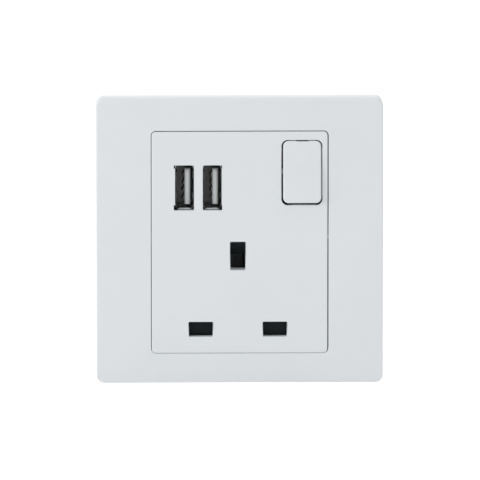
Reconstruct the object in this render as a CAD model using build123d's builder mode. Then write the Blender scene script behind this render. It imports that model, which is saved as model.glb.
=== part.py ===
from build123d import *
import os
from math import cos, radians, sin

# A switched wall socket with two USB charging ports, as it comes apart on a bench.
# X is to the right and Z is up as the socket is seen on the wall. Y runs into the wall.
# The origin is on the wall plane, at the centre of the plate. Sizes are in millimetres.
# A depth is a distance in front of the wall plane, so it is negative behind the wall.

# Front frame: the square clip-on surround
PLATE = 86.0
PLATE_CORNER_R = 2.2
FRAME_FRONT = 9.5
FRAME_SKIN = 2.2
FRAME_WALL = 2.3
FRAME_EDGE_R = 0.5
FRAME_INNER_R = 0.5
LIP_WALL = 1.2
LIP_DEPTH = 2.5
LIP_EDGE_R = 0.25
BARB_X = 22.0
BARB_WIDTH = 8.0
BARB_REACH = 0.9
BARB_DEPTHS = (1.6, 3.2, 3.6)
PRY_WIDTH = 8.0
PRY_DEPTH = 1.2

# Mounting yoke: folded steel sheet on the wall
YOKE_SHEET = 1.2
YOKE_BEND_R = 1.2
YOKE_FRAME_GAP = 0.4
YOKE_SIDE_GAP = 1.7
YOKE_FLANGE = 6.0
YOKE_BARB_GAP = 0.4
YOKE_SPIGOT_GAP = 0.2
WALL_SCREW_PITCH = 60.3
WALL_SLOT_LENGTH = 7.0
WALL_SLOT_WIDTH = 4.1

# Socket face: the moulding inside the frame's window
FACE_WIDTH = 52.7
FACE_HEIGHT = 67.1
FACE_X = -0.02
FACE_Z = -0.385
FACE_CORNER_R = 1.25
FACE_PROUD = 0.1
FACE_SKIN = 2.8
FACE_SKIRT = 1.6
FACE_EDGE_R = 0.3
FACE_SLOT_EDGE = 0.15
WINDOW_GAP_X = 0.23
WINDOW_GAP_Z = 0.16
WINDOW_SHIFT_X = 0.06
WINDOW_SHIFT_Z = 0.1

# Pin slots and the pins that go in
PIN_PITCH = 22.23
PIN_SHIFT = -0.51
PIN_MARGIN = 7.16
FLAT_SLOT_X = 7.18
FLAT_SLOT_Z = 4.4
EARTH_SLOT_X = 4.55
EARTH_SLOT_Z = 8.55
SLOT_R = 0.3
COLLAR_WALL = 1.2
COLLAR_DEPTH = 5.6
FLAT_PIN_WIDTH = 6.35
EARTH_PIN_WIDTH = 3.97
EARTH_PIN_HEIGHT = 7.92

# Rocker, shown off: its top edge is in and its bottom edge stands proud
ROCKER_WINDOW_X = 12.1
ROCKER_WINDOW_Z = 19.6
ROCKER_WINDOW_R = 1.95
ROCKER_MARGIN_RIGHT = 1.65
ROCKER_MARGIN_TOP = 2.6
ROCKER_SIDE_GAP = 0.35
ROCKER_END_GAP = 0.43
ROCKER_SETTLE = 0.09
ROCKER_TILT = 4.5
ROCKER_TOP_PROUD = 0.1
ROCKER_SKIN = 1.6
ROCKER_WALL = 1.2
ROCKER_SKIRT = 0.8
ROCKER_EDGE_R = 0.5
GATE_WIDTH = 3.6
GATE_DEPTH = 0.2
PIVOT_DEPTH = 2.9
TRUNNION_R = 1.1
TRUNNION_REACH = 0.75
TRUNNION_GAP = 0.05
TRUNNION_END_GAP = 0.2
CHEEK_WALL = 1.6
LEDGE_REACH = 0.5
LEDGE_SHEET = 0.8
CHEEK_BEHIND = 3.3
BARREL_R = 2.5
BARREL_BORE_R = 1.55
BARREL_BEHIND = 8.0
BARREL_BORE_TOP = 1.0
PLUNGER_R = 1.45
PLUNGER_TIP_R = 1.4
PLUNGER_REACH = 12.0
PLUNGER_START = 3.7
ROCKER_SPRING_R = 1.1
ROCKER_SPRING_WIRE = 0.2
ROCKER_SPRING_TURNS = 4
ROCKER_SPRING_GAP = 0.25

# Switch lever and contacts, in brass strip with silver rivets
STRIP = 0.8
STRIP_BEND_R = 1.0
LEVER_TILT = 7.0
LEVER_GAP = 0.2
LEVER_SHEET = 1.0
LEVER_WIDTH = 4.4
LEVER_TAIL = 4.5
LEVER_HEAD = 7.4
LEVER_PIN_R = 0.8
LEVER_PIN_SET = 0.5
LEVER_PIN_GAP = 0.05
LEVER_CHEEK_GAP = 0.1
LEVER_CHEEK_HALF = 2.0
LEVER_CHEEK_FRONT = 1.1
LEVER_BED = 3.0
CONTACT_ARM = 5.8
MOVING_TIP_R = 1.4
MOVING_TIP_RISE = 1.1
FIXED_TIP_R = 1.6
CONTACT_GAP = 0.12
STRAP_WIDTH = 4.0
STRAP_CREEP = 1.5

# Sprung clips for the pins
CLIP_PINCH = 0.15
CLIP_FLARE = 0.9
CLIP_HEEL = 0.3
CLIP_BEND_R = 0.7
FLAT_CLIP_HALF = 1.8
EARTH_CLIP_HALF = 3.5
FLAT_CLIP_MOUTH = -1.0
CLIP_MOUTH_RUN = 2.2

# Terminals: brass blocks with a wire bore and a clamping screw
TERMINAL_X = 7.6
TERMINAL_Z = 9.0
TERMINAL_DEPTH = 8.2
TERMINAL_ABOVE_PINS = 8.78
TERMINAL_PAD = 1.1
WIRE_BORE_R = 2.3
WIRE_BORE_SET = 3.5
WIRE_WINDOW_X = 8.4
WIRE_WINDOW_Y = 8.0
WIRE_WINDOW_R = 1.0
CLAMP_SCREW_R = 1.9
CLAMP_HEAD_R = 2.5
CLAMP_HEAD_RISE = 1.8
CLAMP_BACKED_OFF = 0.4
CLAMP_TIP_GAP = 0.2
CLAMP_ACCESS_GAP = 0.4
THREAD_GAP = 0.03
DRIVER_SLOT = 0.8
DRIVER_SLOT_DEPTH = 0.8

# Shutter that the earth pin lifts
SHUTTER_GAP = 0.5
SHUTTER_BLADE = 1.7
SHUTTER_WEB = 1.8
SHUTTER_LAP = 0.5
SHUTTER_SIDE_LAP = 0.72
SHUTTER_TRAVEL = 5.2
SHUTTER_WEB_HALF = 7.5
SHUTTER_COLLAR_GAP = 0.6
SHUTTER_STEP_GAP = 0.75
SHUTTER_STEP_RISE = 5.0
SHUTTER_PIN_GAP = 0.6
RAMP_GAP = 0.1
RAMP_HALF = 2.4
RAIL_GAP = 0.2
RAIL_WALL = 1.2
SPRING_R = 1.0
SPRING_WIRE = 0.2
SPRING_TURNS = 5
SPRING_LENGTH = 9.2
SPRING_PEG_R = 0.7
SPRING_PEG_RISE = 1.4
SPRING_SEAT_WALL = 1.5
SPRING_SEAT_HALF = 3.0

# Contact cover between the shutter and the contacts
COVER_SHEET = 1.2
COVER_GAP = 0.4
COVER_USB_GAP = 1.45
COVER_LEDGE = 0.7
COVER_EDGE_GAP = 0.15
COVER_PIN_GAP = 0.5
COVER_BOSS_GAP = 0.4
COVER_RAMP_GAP = 0.8

# USB-A ports, upright
USB_SHELL_X = 5.7
USB_SHELL_Z = 13.1
USB_SHELL_R = 0.7
USB_SHELL_WALL = 0.3
USB_MOUTH_FLARE = 0.22
USB_LENGTH = 11.4
USB_BEHIND_SKIN = 0.1
USB_OPENING_X = 5.69
USB_OPENING_Z = 13.62
USB_MARGIN_LEFT = 9.87
USB_MARGIN_TOP = 16.945
USB_PITCH = 8.29
USB_RELIEF_X = (0.37, 0.12)
USB_RELIEF_R = 0.1
USB_RELIEF_HIGH = 0.95
USB_RELIEF_LOW = 1.6
TONGUE_X = 1.75
TONGUE_Z = 10.9
TONGUE_SHIFT = 0.885
TONGUE_RECESS = 0.25
TONGUE_EDGE = 0.2
TONGUE_BASE = 2.3
TONGUE_BASE_GAP = 0.05
USB_CONTACT_PLACES = (-3.5, -1.0, 1.0, 3.5)
USB_CONTACT_WIDTH = 1.0
USB_CONTACT_SHEET = 0.25
USB_CONTACT_RECESS = 0.9
USB_CONTACT_BOW = 0.6
USB_CONTACT_RUN = 2.6
USB_CONTACT_BEND_R = 0.6

# Charger board and what is on it
BOARD_SHEET = 1.6
BOARD_EDGE_GAP = 0.4
BOARD_RIGHT = 13.5
BOARD_BELOW = 6.5
BOARD_POST_R = 1.5
BOARD_PIN_R = 0.85
BOARD_PIN_GAP = 0.1
BOARD_PIN_RISE = 0.7
BOARD_POST_LOW = (11.5, -2.0)
BOARD_POST_HIGH = (2.8, 9.8)
CORE_X = 14.0
CORE_Z = 5.0
CORE_DEPTH = 12.0
CORE_LEG = 2.0
CORE_MIDDLE = 4.0
CORE_PLACE = (3.1, 0.5)
COIL_Z = 9.0
COIL_GAP = 0.2
COIL_R = 1.5
INPUT_CAP_R = 4.0
INPUT_CAP_LENGTH = 13.0
INPUT_CAP_PLACE = (14.8, 0.0)
OUTPUT_CAP_R = 2.6
OUTPUT_CAP_LENGTH = 9.0
OUTPUT_CAP_PLACE = (7.1, 9.0)
CAP_BEAD_R = 0.5
CAP_BEAD_UP = 1.5
RECTIFIER_SIZE = (5.0, 4.0, 2.0)
RECTIFIER_PLACE = (15.1, 5.6)
CONTROLLER_SIZE = (5.0, 4.0, 1.6)
CONTROLLER_PLACE = (15.1, -0.2)
LEAD_R = 0.8
LEAD_BEND_R = 2.5
LEAD_CORNER = 0.9

# Back housing and its screws
HOUSING_INSET = 2.25
HOUSING_BESIDE_PINS = 10.7
HOUSING_WALL = 2.2
HOUSING_BACK = 2.0
HOUSING_DEPTH = 25.5
HOUSING_CORNER_R = 2.5
HOUSING_EDGE_R = 1.2
FLANGE_SHEET = 2.0
FLANGE_INSET = 0.2
SPIGOT_RISE = 1.0
SPIGOT_WALL = 0.95
BOSS_R = 2.2
BOSS_INSET = 2.3
BOSS_FROM_ROCKER = 7.6
BOSS_BOARD_GAP = 0.3
SCREW_R = 1.4
SCREW_LENGTH = 13.0
SCREW_HEAD_R = 2.3
SCREW_HEAD_RISE = 1.8
SCREW_HOLE_GAP = 0.2
WELL_R = 2.6
WELL_WALL = 1.0
WELL_FLOOR = 2.4
BARRIER_WALL = 1.2
BARRIER_LAP = 1.0
PAD_WALL = 1.4
HOUSING_MOUTH_EDGE = 0.5
RIB_PLACES = (-18.0, 0.0, 18.0)
RIB_WIDTH = 1.6
RIB_RISE = 0.6
VENT_FIRST = 3.5
VENT_PITCH = 3.5
VENT_COUNT = 4
VENT_WIDTH = 1.4
VENT_DEPTHS = (-20.0, -8.0)
PANEL_X = 30.0
PANEL_Z = 22.0
PANEL_UP = 8.0
PANEL_R = 1.5
PANEL_SUNK = 0.4

# Places that several pieces share, worked out from the sizes above
FACE_LEFT = FACE_X - FACE_WIDTH / 2
FACE_RIGHT = FACE_X + FACE_WIDTH / 2
FACE_BOTTOM = FACE_Z - FACE_HEIGHT / 2
FACE_TOP = FACE_Z + FACE_HEIGHT / 2
FACE_FRONT = FRAME_FRONT + FACE_PROUD
FACE_BACK = FACE_FRONT - FACE_SKIN
WINDOW_X = FACE_X + WINDOW_SHIFT_X
WINDOW_Z = FACE_Z + WINDOW_SHIFT_Z
WINDOW_WIDTH = FACE_WIDTH + 2 * WINDOW_GAP_X
WINDOW_HEIGHT = FACE_HEIGHT + 2 * WINDOW_GAP_Z
FRAME_BACK = FRAME_FRONT - FRAME_SKIN
FRAME_INNER = PLATE / 2 - FRAME_WALL

PIN_X = FACE_X + PIN_SHIFT
PIN_Z = FACE_BOTTOM + PIN_MARGIN
EARTH_Z = PIN_Z + PIN_PITCH
NEUTRAL_X = PIN_X - PIN_PITCH / 2
LIVE_X = PIN_X + PIN_PITCH / 2
COLLAR_END = FACE_FRONT - COLLAR_DEPTH

ROCKER_X = FACE_RIGHT - ROCKER_MARGIN_RIGHT - ROCKER_WINDOW_X / 2
ROCKER_Z = FACE_TOP - ROCKER_MARGIN_TOP - ROCKER_WINDOW_Z / 2
ROCKER_LEFT_EDGE = ROCKER_X - ROCKER_WINDOW_X / 2
ROCKER_RIGHT_EDGE = ROCKER_X + ROCKER_WINDOW_X / 2
PIVOT_AT = FACE_FRONT - PIVOT_DEPTH
TILT_SIN = sin(radians(ROCKER_TILT))
TILT_COS = cos(radians(ROCKER_TILT))
ROCKER_HALF = ROCKER_WINDOW_Z / 2 - ROCKER_END_GAP
ROCKER_WIDTH = ROCKER_WINDOW_X - 2 * ROCKER_SIDE_GAP
ROCKER_FACE = (PIVOT_DEPTH + ROCKER_TOP_PROUD + ROCKER_HALF * TILT_SIN) / TILT_COS

LEVER_FRONT = PIVOT_AT - PLUNGER_REACH - LEVER_GAP
LEVER_AT = LEVER_FRONT - LEVER_SHEET - LEVER_PIN_SET
BED_FRONT = LEVER_AT - LEVER_BED
BED_BACK = BED_FRONT - STRIP
LEVER_SIN = sin(radians(LEVER_TILT))
LEVER_COS = cos(radians(LEVER_TILT))
MOVING_TIP_BACK = MOVING_TIP_RISE - LEVER_PIN_SET
CLOSED_REACH = MOVING_TIP_BACK * LEVER_COS + (CONTACT_ARM + MOVING_TIP_R) * LEVER_SIN
FIXED_TIP_FRONT = LEVER_AT - CLOSED_REACH - CONTACT_GAP
CONTACT_Z = ROCKER_Z + CONTACT_ARM

HOUSING_FLOOR = HOUSING_BACK - HOUSING_DEPTH
TERMINAL_BACK = HOUSING_FLOOR + TERMINAL_PAD
TERMINAL_FRONT = TERMINAL_BACK + TERMINAL_DEPTH
TERMINAL_BED = TERMINAL_FRONT + STRIP
TERMINAL_MID_Z = PIN_Z + TERMINAL_ABOVE_PINS
TERMINAL_LOW = TERMINAL_MID_Z - TERMINAL_Z / 2
TERMINAL_HIGH = TERMINAL_MID_Z + TERMINAL_Z / 2
WIRE_AT = TERMINAL_FRONT - WIRE_BORE_SET
TERMINAL_PLACES = (NEUTRAL_X, PIN_X, LIVE_X)

BLADE_FRONT = FACE_BACK - SHUTTER_GAP
BLADE_BACK = BLADE_FRONT - SHUTTER_BLADE
BLADE_BOTTOM = PIN_Z - FLAT_SLOT_Z / 2 - SHUTTER_LAP
WEB_FRONT = COLLAR_END - SHUTTER_COLLAR_GAP
WEB_BACK = WEB_FRONT - SHUTTER_WEB
COLLAR_BOTTOM = EARTH_Z - EARTH_SLOT_Z / 2 - COLLAR_WALL
STEP_TOP = COLLAR_BOTTOM - SHUTTER_STEP_GAP - SHUTTER_TRAVEL
STEP_BOTTOM = STEP_TOP - SHUTTER_STEP_RISE
RAMP_LOW = EARTH_Z + EARTH_PIN_HEIGHT / 2 - SHUTTER_TRAVEL + RAMP_GAP
RAMP_HIGH = RAMP_LOW + SHUTTER_TRAVEL
RAMP_BACK = WEB_FRONT - SHUTTER_TRAVEL
WEB_TOP = RAMP_HIGH + SHUTTER_WEB
COVER_FRONT = WEB_BACK - COVER_GAP
COVER_BACK = COVER_FRONT - COVER_SHEET
SPRING_AT = (WEB_FRONT + WEB_BACK) / 2

USB_X = FACE_LEFT + USB_MARGIN_LEFT
USB_Z = FACE_TOP - USB_MARGIN_TOP
COVER_TOP = USB_Z - USB_SHELL_Z / 2 - COVER_USB_GAP
USB_PLACES = {"left": USB_X, "right": USB_X + USB_PITCH}
USB_MOUTH = FACE_BACK - USB_BEHIND_SKIN
USB_BACK = USB_MOUTH - USB_LENGTH
BOARD_BACK = USB_BACK - BOARD_SHEET

HOUSING_HALF_X = max(
    FACE_WIDTH / 2 - HOUSING_INSET - HOUSING_WALL,
    PIN_PITCH / 2 + HOUSING_BESIDE_PINS,
)
HOUSING_HALF_Z = FACE_HEIGHT / 2 - HOUSING_INSET - HOUSING_WALL
HOUSING_LEFT = FACE_X - HOUSING_HALF_X
HOUSING_RIGHT = FACE_X + HOUSING_HALF_X
HOUSING_LOW = FACE_Z - HOUSING_HALF_Z
HOUSING_HIGH = FACE_Z + HOUSING_HALF_Z
SPIGOT_INSIDE = COVER_LEDGE + COVER_EDGE_GAP
BOSS_END = BOARD_BACK - BOSS_BOARD_GAP
WELL_SEAT = BOSS_END - WELL_FLOOR
BOSS_PLACES = (
    (HOUSING_LEFT + BOSS_INSET, HOUSING_LOW + BOSS_INSET),
    (HOUSING_RIGHT - BOSS_INSET, HOUSING_LOW + BOSS_INSET),
    (HOUSING_LEFT + BOSS_INSET, HOUSING_HIGH - BOSS_INSET),
    (ROCKER_LEFT_EDGE - BOSS_FROM_ROCKER, HOUSING_HIGH - BOSS_INSET),
)
BOARD_LEFT_EDGE = HOUSING_LEFT + BOARD_EDGE_GAP
BOARD_RIGHT_EDGE = USB_PLACES["right"] + BOARD_RIGHT
BOARD_LOW_EDGE = USB_Z - BOARD_BELOW
BOARD_HIGH_EDGE = HOUSING_HIGH - BOARD_EDGE_GAP

BUS_LEFT = ROCKER_X + LEVER_WIDTH / 2 + LEVER_CHEEK_GAP + STRIP - STRAP_WIDTH
BUS_RIGHT = BUS_LEFT + STRAP_WIDTH
BRACKET_TOP = CONTACT_Z - FIXED_TIP_R - STRAP_CREEP
BRACKET_LOW = ROCKER_Z - LEVER_HEAD


def middle(span):
    return (span[0] + span[1]) / 2


def length(span):
    return span[1] - span[0]


def at(depth):
    """The plane at this depth that faces the room, with X to the right and Z up."""
    return Plane.XZ.offset(depth)


def block(x, z, depth, corner=0.0, mode=Mode.ADD):
    """A straight prism between two values of x, two of z and two of depth."""
    with BuildSketch(at(depth[0])) as outline:
        with Locations((middle(x), middle(z))):
            if corner:
                RectangleRounded(length(x), length(z), corner)
            else:
                Rectangle(length(x), length(z))
    extrude(outline.sketch, amount=length(depth), mode=mode)


def rod(x, z, radius, depth, mode=Mode.ADD):
    """A round bar or hole that runs straight into the wall, between two depths."""
    with BuildSketch(at(depth[0])) as outline:
        with Locations((x, z)):
            Circle(radius)
    extrude(outline.sketch, amount=length(depth), mode=mode)


def around(centre, half):
    return (centre - half, centre + half)


def grown(span, margin):
    return (span[0] - margin, span[1] + margin)


def save(piece, name):
    piece.part.label = name
    export_step(piece.part, f"parts/{name}.step")


os.makedirs("parts", exist_ok=True)

FACE_SPAN_X = (FACE_LEFT, FACE_RIGHT)
FACE_SPAN_Z = (FACE_BOTTOM, FACE_TOP)
INSIDE_X = (HOUSING_LEFT, HOUSING_RIGHT)
INSIDE_Z = (HOUSING_LOW, HOUSING_HIGH)


# Front frame: a hollow square with a rounded outer edge, a window and a lip round the window
with BuildPart() as front_frame:
    with BuildSketch(at(0)):
        RectangleRounded(PLATE, PLATE, PLATE_CORNER_R)
    extrude(amount=FRAME_FRONT)
    fillet(front_frame.faces().sort_by(Axis.Y)[0].edges(), FRAME_EDGE_R)
    with BuildSketch(at(0)):
        RectangleRounded(2 * FRAME_INNER, 2 * FRAME_INNER, FRAME_INNER_R)
    extrude(amount=FRAME_BACK, mode=Mode.SUBTRACT)
    window_x = around(WINDOW_X, WINDOW_WIDTH / 2)
    window_z = around(WINDOW_Z, WINDOW_HEIGHT / 2)
    window_r = FACE_CORNER_R + WINDOW_GAP_X
    lip = (FRAME_BACK - LIP_DEPTH, FRAME_BACK)
    block(grown(window_x, LIP_WALL), grown(window_z, LIP_WALL), lip, window_r + LIP_WALL)
    block(window_x, window_z, (lip[0], FRAME_FRONT), window_r, mode=Mode.SUBTRACT)
    fillet(front_frame.faces().sort_by(Axis.Y)[0].inner_wires()[0].edges(), LIP_EDGE_R)
    # Barbs on the upper and lower walls: a ramp to push past the yoke's edge, and a step to hold
    barb_start, barb_crest, barb_step = BARB_DEPTHS
    for side in (1, -1):
        wall_z = side * FRAME_INNER
        for barb_x in (-BARB_X, BARB_X):
            with BuildSketch(Plane.YZ.offset(barb_x - BARB_WIDTH / 2)):
                with BuildLine():
                    Polyline(
                        (-barb_start, wall_z),
                        (-barb_crest, wall_z - side * BARB_REACH),
                        (-barb_step, wall_z - side * BARB_REACH),
                        (-barb_step, wall_z),
                        close=True,
                    )
                make_face()
            extrude(amount=BARB_WIDTH)
    block(
        around(0, PRY_WIDTH / 2),
        (-PLATE / 2, -FRAME_INNER),
        (0, PRY_DEPTH),
        mode=Mode.SUBTRACT,
    )
save(front_frame, "front_frame")


# Mounting yoke: one folded sheet, with a window for the housing and a slot for each wall screw
yoke_edge = FRAME_INNER - YOKE_FRAME_GAP - YOKE_SHEET / 2
with BuildPart() as mounting_yoke:
    with BuildSketch(Plane.YZ.offset(YOKE_SIDE_GAP - FRAME_INNER)):
        with BuildLine():
            FilletPolyline(
                (-YOKE_FLANGE, yoke_edge),
                (-YOKE_SHEET / 2, yoke_edge),
                (-YOKE_SHEET / 2, -yoke_edge),
                (-YOKE_FLANGE, -yoke_edge),
                radius=YOKE_BEND_R,
            )
        trace(line_width=YOKE_SHEET)
    extrude(amount=2 * (FRAME_INNER - YOKE_SIDE_GAP))
    spigot_x = grown(INSIDE_X, SPIGOT_INSIDE + SPIGOT_WALL)
    spigot_z = grown(INSIDE_Z, SPIGOT_INSIDE + SPIGOT_WALL)
    block(
        grown(spigot_x, YOKE_SPIGOT_GAP),
        grown(spigot_z, YOKE_SPIGOT_GAP),
        (0, YOKE_SHEET),
        HOUSING_CORNER_R,
        mode=Mode.SUBTRACT,
    )
    with BuildSketch(at(0)):
        with Locations((-WALL_SCREW_PITCH / 2, 0), (WALL_SCREW_PITCH / 2, 0)):
            SlotOverall(WALL_SLOT_LENGTH, WALL_SLOT_WIDTH)
    extrude(amount=YOKE_SHEET, mode=Mode.SUBTRACT)
    for barb_x in (-BARB_X, BARB_X):
        block(
            around(barb_x, BARB_WIDTH / 2 + YOKE_BARB_GAP),
            (-FRAME_INNER, FRAME_INNER),
            grown((barb_start, barb_step), YOKE_BARB_GAP / 2),
            mode=Mode.SUBTRACT,
        )
save(mounting_yoke, "mounting_yoke")


# Socket face: a tray that opens to the back, with every slot, post and rail that it carries
flat_slots = [around(x, FLAT_SLOT_X / 2) for x in (NEUTRAL_X, LIVE_X)]
flat_slot_z = around(PIN_Z, FLAT_SLOT_Z / 2)
earth_slot_x = around(PIN_X, EARTH_SLOT_X / 2)
earth_slot_z = around(EARTH_Z, EARTH_SLOT_Z / 2)
skin = (FACE_BACK, FACE_FRONT)
with BuildPart() as socket_face:
    block(FACE_SPAN_X, FACE_SPAN_Z, (YOKE_SHEET, FACE_FRONT), FACE_CORNER_R)
    fillet(socket_face.faces().sort_by(Axis.Y)[0].edges(), FACE_EDGE_R)
    tray_x = grown(FACE_SPAN_X, -FACE_SKIRT)
    tray_z = grown(FACE_SPAN_Z, -FACE_SKIRT)
    block(tray_x, tray_z, (YOKE_SHEET, FACE_BACK), mode=Mode.SUBTRACT)
    # Collar behind the earth slot, then the three slots and the rocker's window
    collar = (COLLAR_END, FACE_BACK)
    block(grown(earth_slot_x, COLLAR_WALL), grown(earth_slot_z, COLLAR_WALL), collar, SLOT_R)
    block(earth_slot_x, earth_slot_z, (COLLAR_END, FACE_FRONT), SLOT_R, mode=Mode.SUBTRACT)
    for slot_x in flat_slots:
        block(slot_x, flat_slot_z, skin, SLOT_R, mode=Mode.SUBTRACT)
    block(
        around(ROCKER_X, ROCKER_WINDOW_X / 2),
        around(ROCKER_Z, ROCKER_WINDOW_Z / 2),
        skin,
        ROCKER_WINDOW_R,
        mode=Mode.SUBTRACT,
    )
    openings = socket_face.faces().sort_by(Axis.Y)[0].inner_wires()
    chamfer([edge for wire in openings for edge in wire.edges()], FACE_SLOT_EDGE)
    # Port openings, with small reliefs at the outer corners
    port_z = around(USB_Z, USB_OPENING_Z / 2)
    relief_low = (port_z[0], port_z[0] + USB_RELIEF_LOW)
    relief_high = (port_z[1] - USB_RELIEF_HIGH, port_z[1])
    for outward, relief, usb_x in zip((-1, 1), USB_RELIEF_X, USB_PLACES.values()):
        block(around(usb_x, USB_OPENING_X / 2), port_z, skin, SLOT_R, mode=Mode.SUBTRACT)
        relief_x = around(usb_x + outward * USB_OPENING_X / 2, relief)
        block(relief_x, relief_low, skin, USB_RELIEF_R, mode=Mode.SUBTRACT)
        block(relief_x, relief_high, skin, mode=Mode.SUBTRACT)
    # Bearings for the rocker: a cheek on the left, the tray's own wall on the right. The ledges that
    # the rocker snaps past close the gaps beside it, so that nothing shows through
    cheek = (PIVOT_AT - CHEEK_BEHIND, FACE_BACK)
    cheek_z = around(ROCKER_Z, ROCKER_WINDOW_Z / 2)
    ledge = (cheek[0], cheek[0] + LEDGE_SHEET)
    block((ROCKER_LEFT_EDGE - CHEEK_WALL, ROCKER_LEFT_EDGE), cheek_z, cheek)
    block((ROCKER_LEFT_EDGE - CHEEK_WALL, ROCKER_LEFT_EDGE + LEDGE_REACH), cheek_z, ledge)
    block((ROCKER_RIGHT_EDGE - LEDGE_REACH, FACE_RIGHT - FACE_SKIRT / 2), cheek_z, ledge)
    bearing_r = TRUNNION_R + TRUNNION_GAP
    bearing_end = TRUNNION_REACH + TRUNNION_END_GAP
    with BuildSketch(Plane.YZ.offset(ROCKER_LEFT_EDGE - bearing_end)):
        with Locations((-PIVOT_AT, ROCKER_Z)):
            Circle(bearing_r)
            Rectangle(CHEEK_BEHIND, 2 * bearing_r, align=(Align.MIN, Align.CENTER))
    extrude(amount=ROCKER_WINDOW_X + 2 * bearing_end, mode=Mode.SUBTRACT)
    # Rails beside the shutter, and the seat of its spring
    web_x = around(PIN_X, SHUTTER_WEB_HALF)
    rail_z = (STEP_BOTTOM + SHUTTER_TRAVEL + RAIL_GAP, WEB_TOP)
    rail = (COVER_FRONT + RAIL_GAP, FACE_BACK)
    block((web_x[0] - RAIL_GAP - RAIL_WALL, web_x[0] - RAIL_GAP), rail_z, rail)
    block((web_x[1] + RAIL_GAP, web_x[1] + RAIL_GAP + RAIL_WALL), rail_z, rail)
    spring_top = WEB_TOP + SPRING_LENGTH
    seat_z = (spring_top, spring_top + SPRING_SEAT_WALL)
    seat = (SPRING_AT - SPRING_R, FACE_BACK)
    block(around(PIN_X, SPRING_SEAT_HALF), seat_z, seat)
    # Screw bosses, and two posts whose pins pass through the board
    for boss_x, boss_z in BOSS_PLACES:
        rod(boss_x, boss_z, BOSS_R, (BOSS_END, FACE_BACK))
        pilot = (BOSS_END, WELL_SEAT + SCREW_LENGTH)
        rod(boss_x, boss_z, SCREW_R + THREAD_GAP, pilot, mode=Mode.SUBTRACT)
    board_posts = (
        (USB_PLACES["right"] + BOARD_POST_LOW[0], USB_Z + BOARD_POST_LOW[1]),
        (USB_PLACES["left"] + BOARD_POST_HIGH[0], USB_Z + BOARD_POST_HIGH[1]),
    )
    for post_x, post_z in board_posts:
        rod(post_x, post_z, BOARD_POST_R, (USB_BACK, FACE_BACK))
        rod(post_x, post_z, BOARD_PIN_R, (BOARD_BACK - BOARD_PIN_RISE, USB_BACK))
save(socket_face, "socket_face")


# Rocker: drawn on a plane tilted to its off state, through the pivot
rocker_plane = Plane(
    origin=(ROCKER_X + ROCKER_SETTLE, -PIVOT_AT, ROCKER_Z),
    x_dir=(1, 0, 0),
    z_dir=(0, -TILT_COS, TILT_SIN),
)
rocker_axis = Axis(rocker_plane.origin, rocker_plane.z_dir)
rocker_r = ROCKER_WINDOW_R - ROCKER_SIDE_GAP
with BuildPart() as rocker:
    with BuildSketch(rocker_plane.offset(-ROCKER_SKIRT)):
        RectangleRounded(ROCKER_WIDTH, 2 * ROCKER_HALF, rocker_r)
    extrude(amount=ROCKER_SKIRT + ROCKER_FACE)
    fillet(rocker.faces().sort_by(rocker_axis)[-1].edges(), ROCKER_EDGE_R)
    with BuildSketch(rocker_plane.offset(-ROCKER_SKIRT)):
        RectangleRounded(
            ROCKER_WIDTH - 2 * ROCKER_WALL,
            2 * (ROCKER_HALF - ROCKER_WALL),
            rocker_r - ROCKER_WALL / 2,
        )
    extrude(amount=ROCKER_SKIRT + ROCKER_FACE - ROCKER_SKIN, mode=Mode.SUBTRACT)
    # A shallow gate relief in the upper end
    with BuildSketch(rocker_plane.offset(-ROCKER_SKIRT)):
        with Locations((0, ROCKER_HALF)):
            Rectangle(GATE_WIDTH, 2 * GATE_DEPTH)
    extrude(amount=ROCKER_SKIRT + ROCKER_FACE, mode=Mode.SUBTRACT)
    # The barrel that holds the spring and the plunger
    with BuildSketch(rocker_plane.offset(-BARREL_BEHIND)):
        Circle(BARREL_R)
    extrude(amount=BARREL_BEHIND + ROCKER_FACE - ROCKER_SKIN)
    with BuildSketch(rocker_plane.offset(-BARREL_BEHIND)):
        Circle(BARREL_BORE_R)
    extrude(amount=BARREL_BEHIND + BARREL_BORE_TOP, mode=Mode.SUBTRACT)
    # Trunnions on both sides
    trunnion = ROCKER_WINDOW_X / 2 + TRUNNION_REACH
    wall_inside = ROCKER_WIDTH / 2 - ROCKER_WALL
    for start in (-trunnion, wall_inside):
        with BuildSketch(Plane.YZ.offset(rocker_plane.origin.X + start)):
            with Locations((-PIVOT_AT, ROCKER_Z)):
                Circle(TRUNNION_R)
        extrude(amount=trunnion - wall_inside)
save(rocker, "rocker")


with BuildPart() as rocker_plunger:
    with BuildSketch(rocker_plane.offset(-PLUNGER_START)):
        Circle(PLUNGER_R)
    extrude(amount=PLUNGER_START - PLUNGER_REACH)
    fillet(rocker_plunger.faces().sort_by(rocker_axis)[0].edges(), PLUNGER_TIP_R)
save(rocker_plunger, "rocker_plunger")


def coil(turns, radius, wire, height, plane):
    """A coil spring of round wire that stands on a plane and is this high over its wire."""
    rise = height - 2 * wire
    foot = plane.offset(wire)
    with BuildLine() as path:
        Helix(rise / turns, rise, radius, center=foot.origin, direction=foot.z_dir)
    with BuildSketch(Plane(origin=path.line @ 0, z_dir=path.line % 0)) as section:
        Circle(wire)
    sweep(section.sketch, path=path.line)


with BuildPart() as rocker_spring:
    spring_length = PLUNGER_START + BARREL_BORE_TOP - 2 * ROCKER_SPRING_GAP
    coil(
        ROCKER_SPRING_TURNS,
        ROCKER_SPRING_R,
        ROCKER_SPRING_WIRE,
        spring_length,
        rocker_plane.offset(ROCKER_SPRING_GAP - PLUNGER_START),
    )
save(rocker_spring, "rocker_spring")


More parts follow.
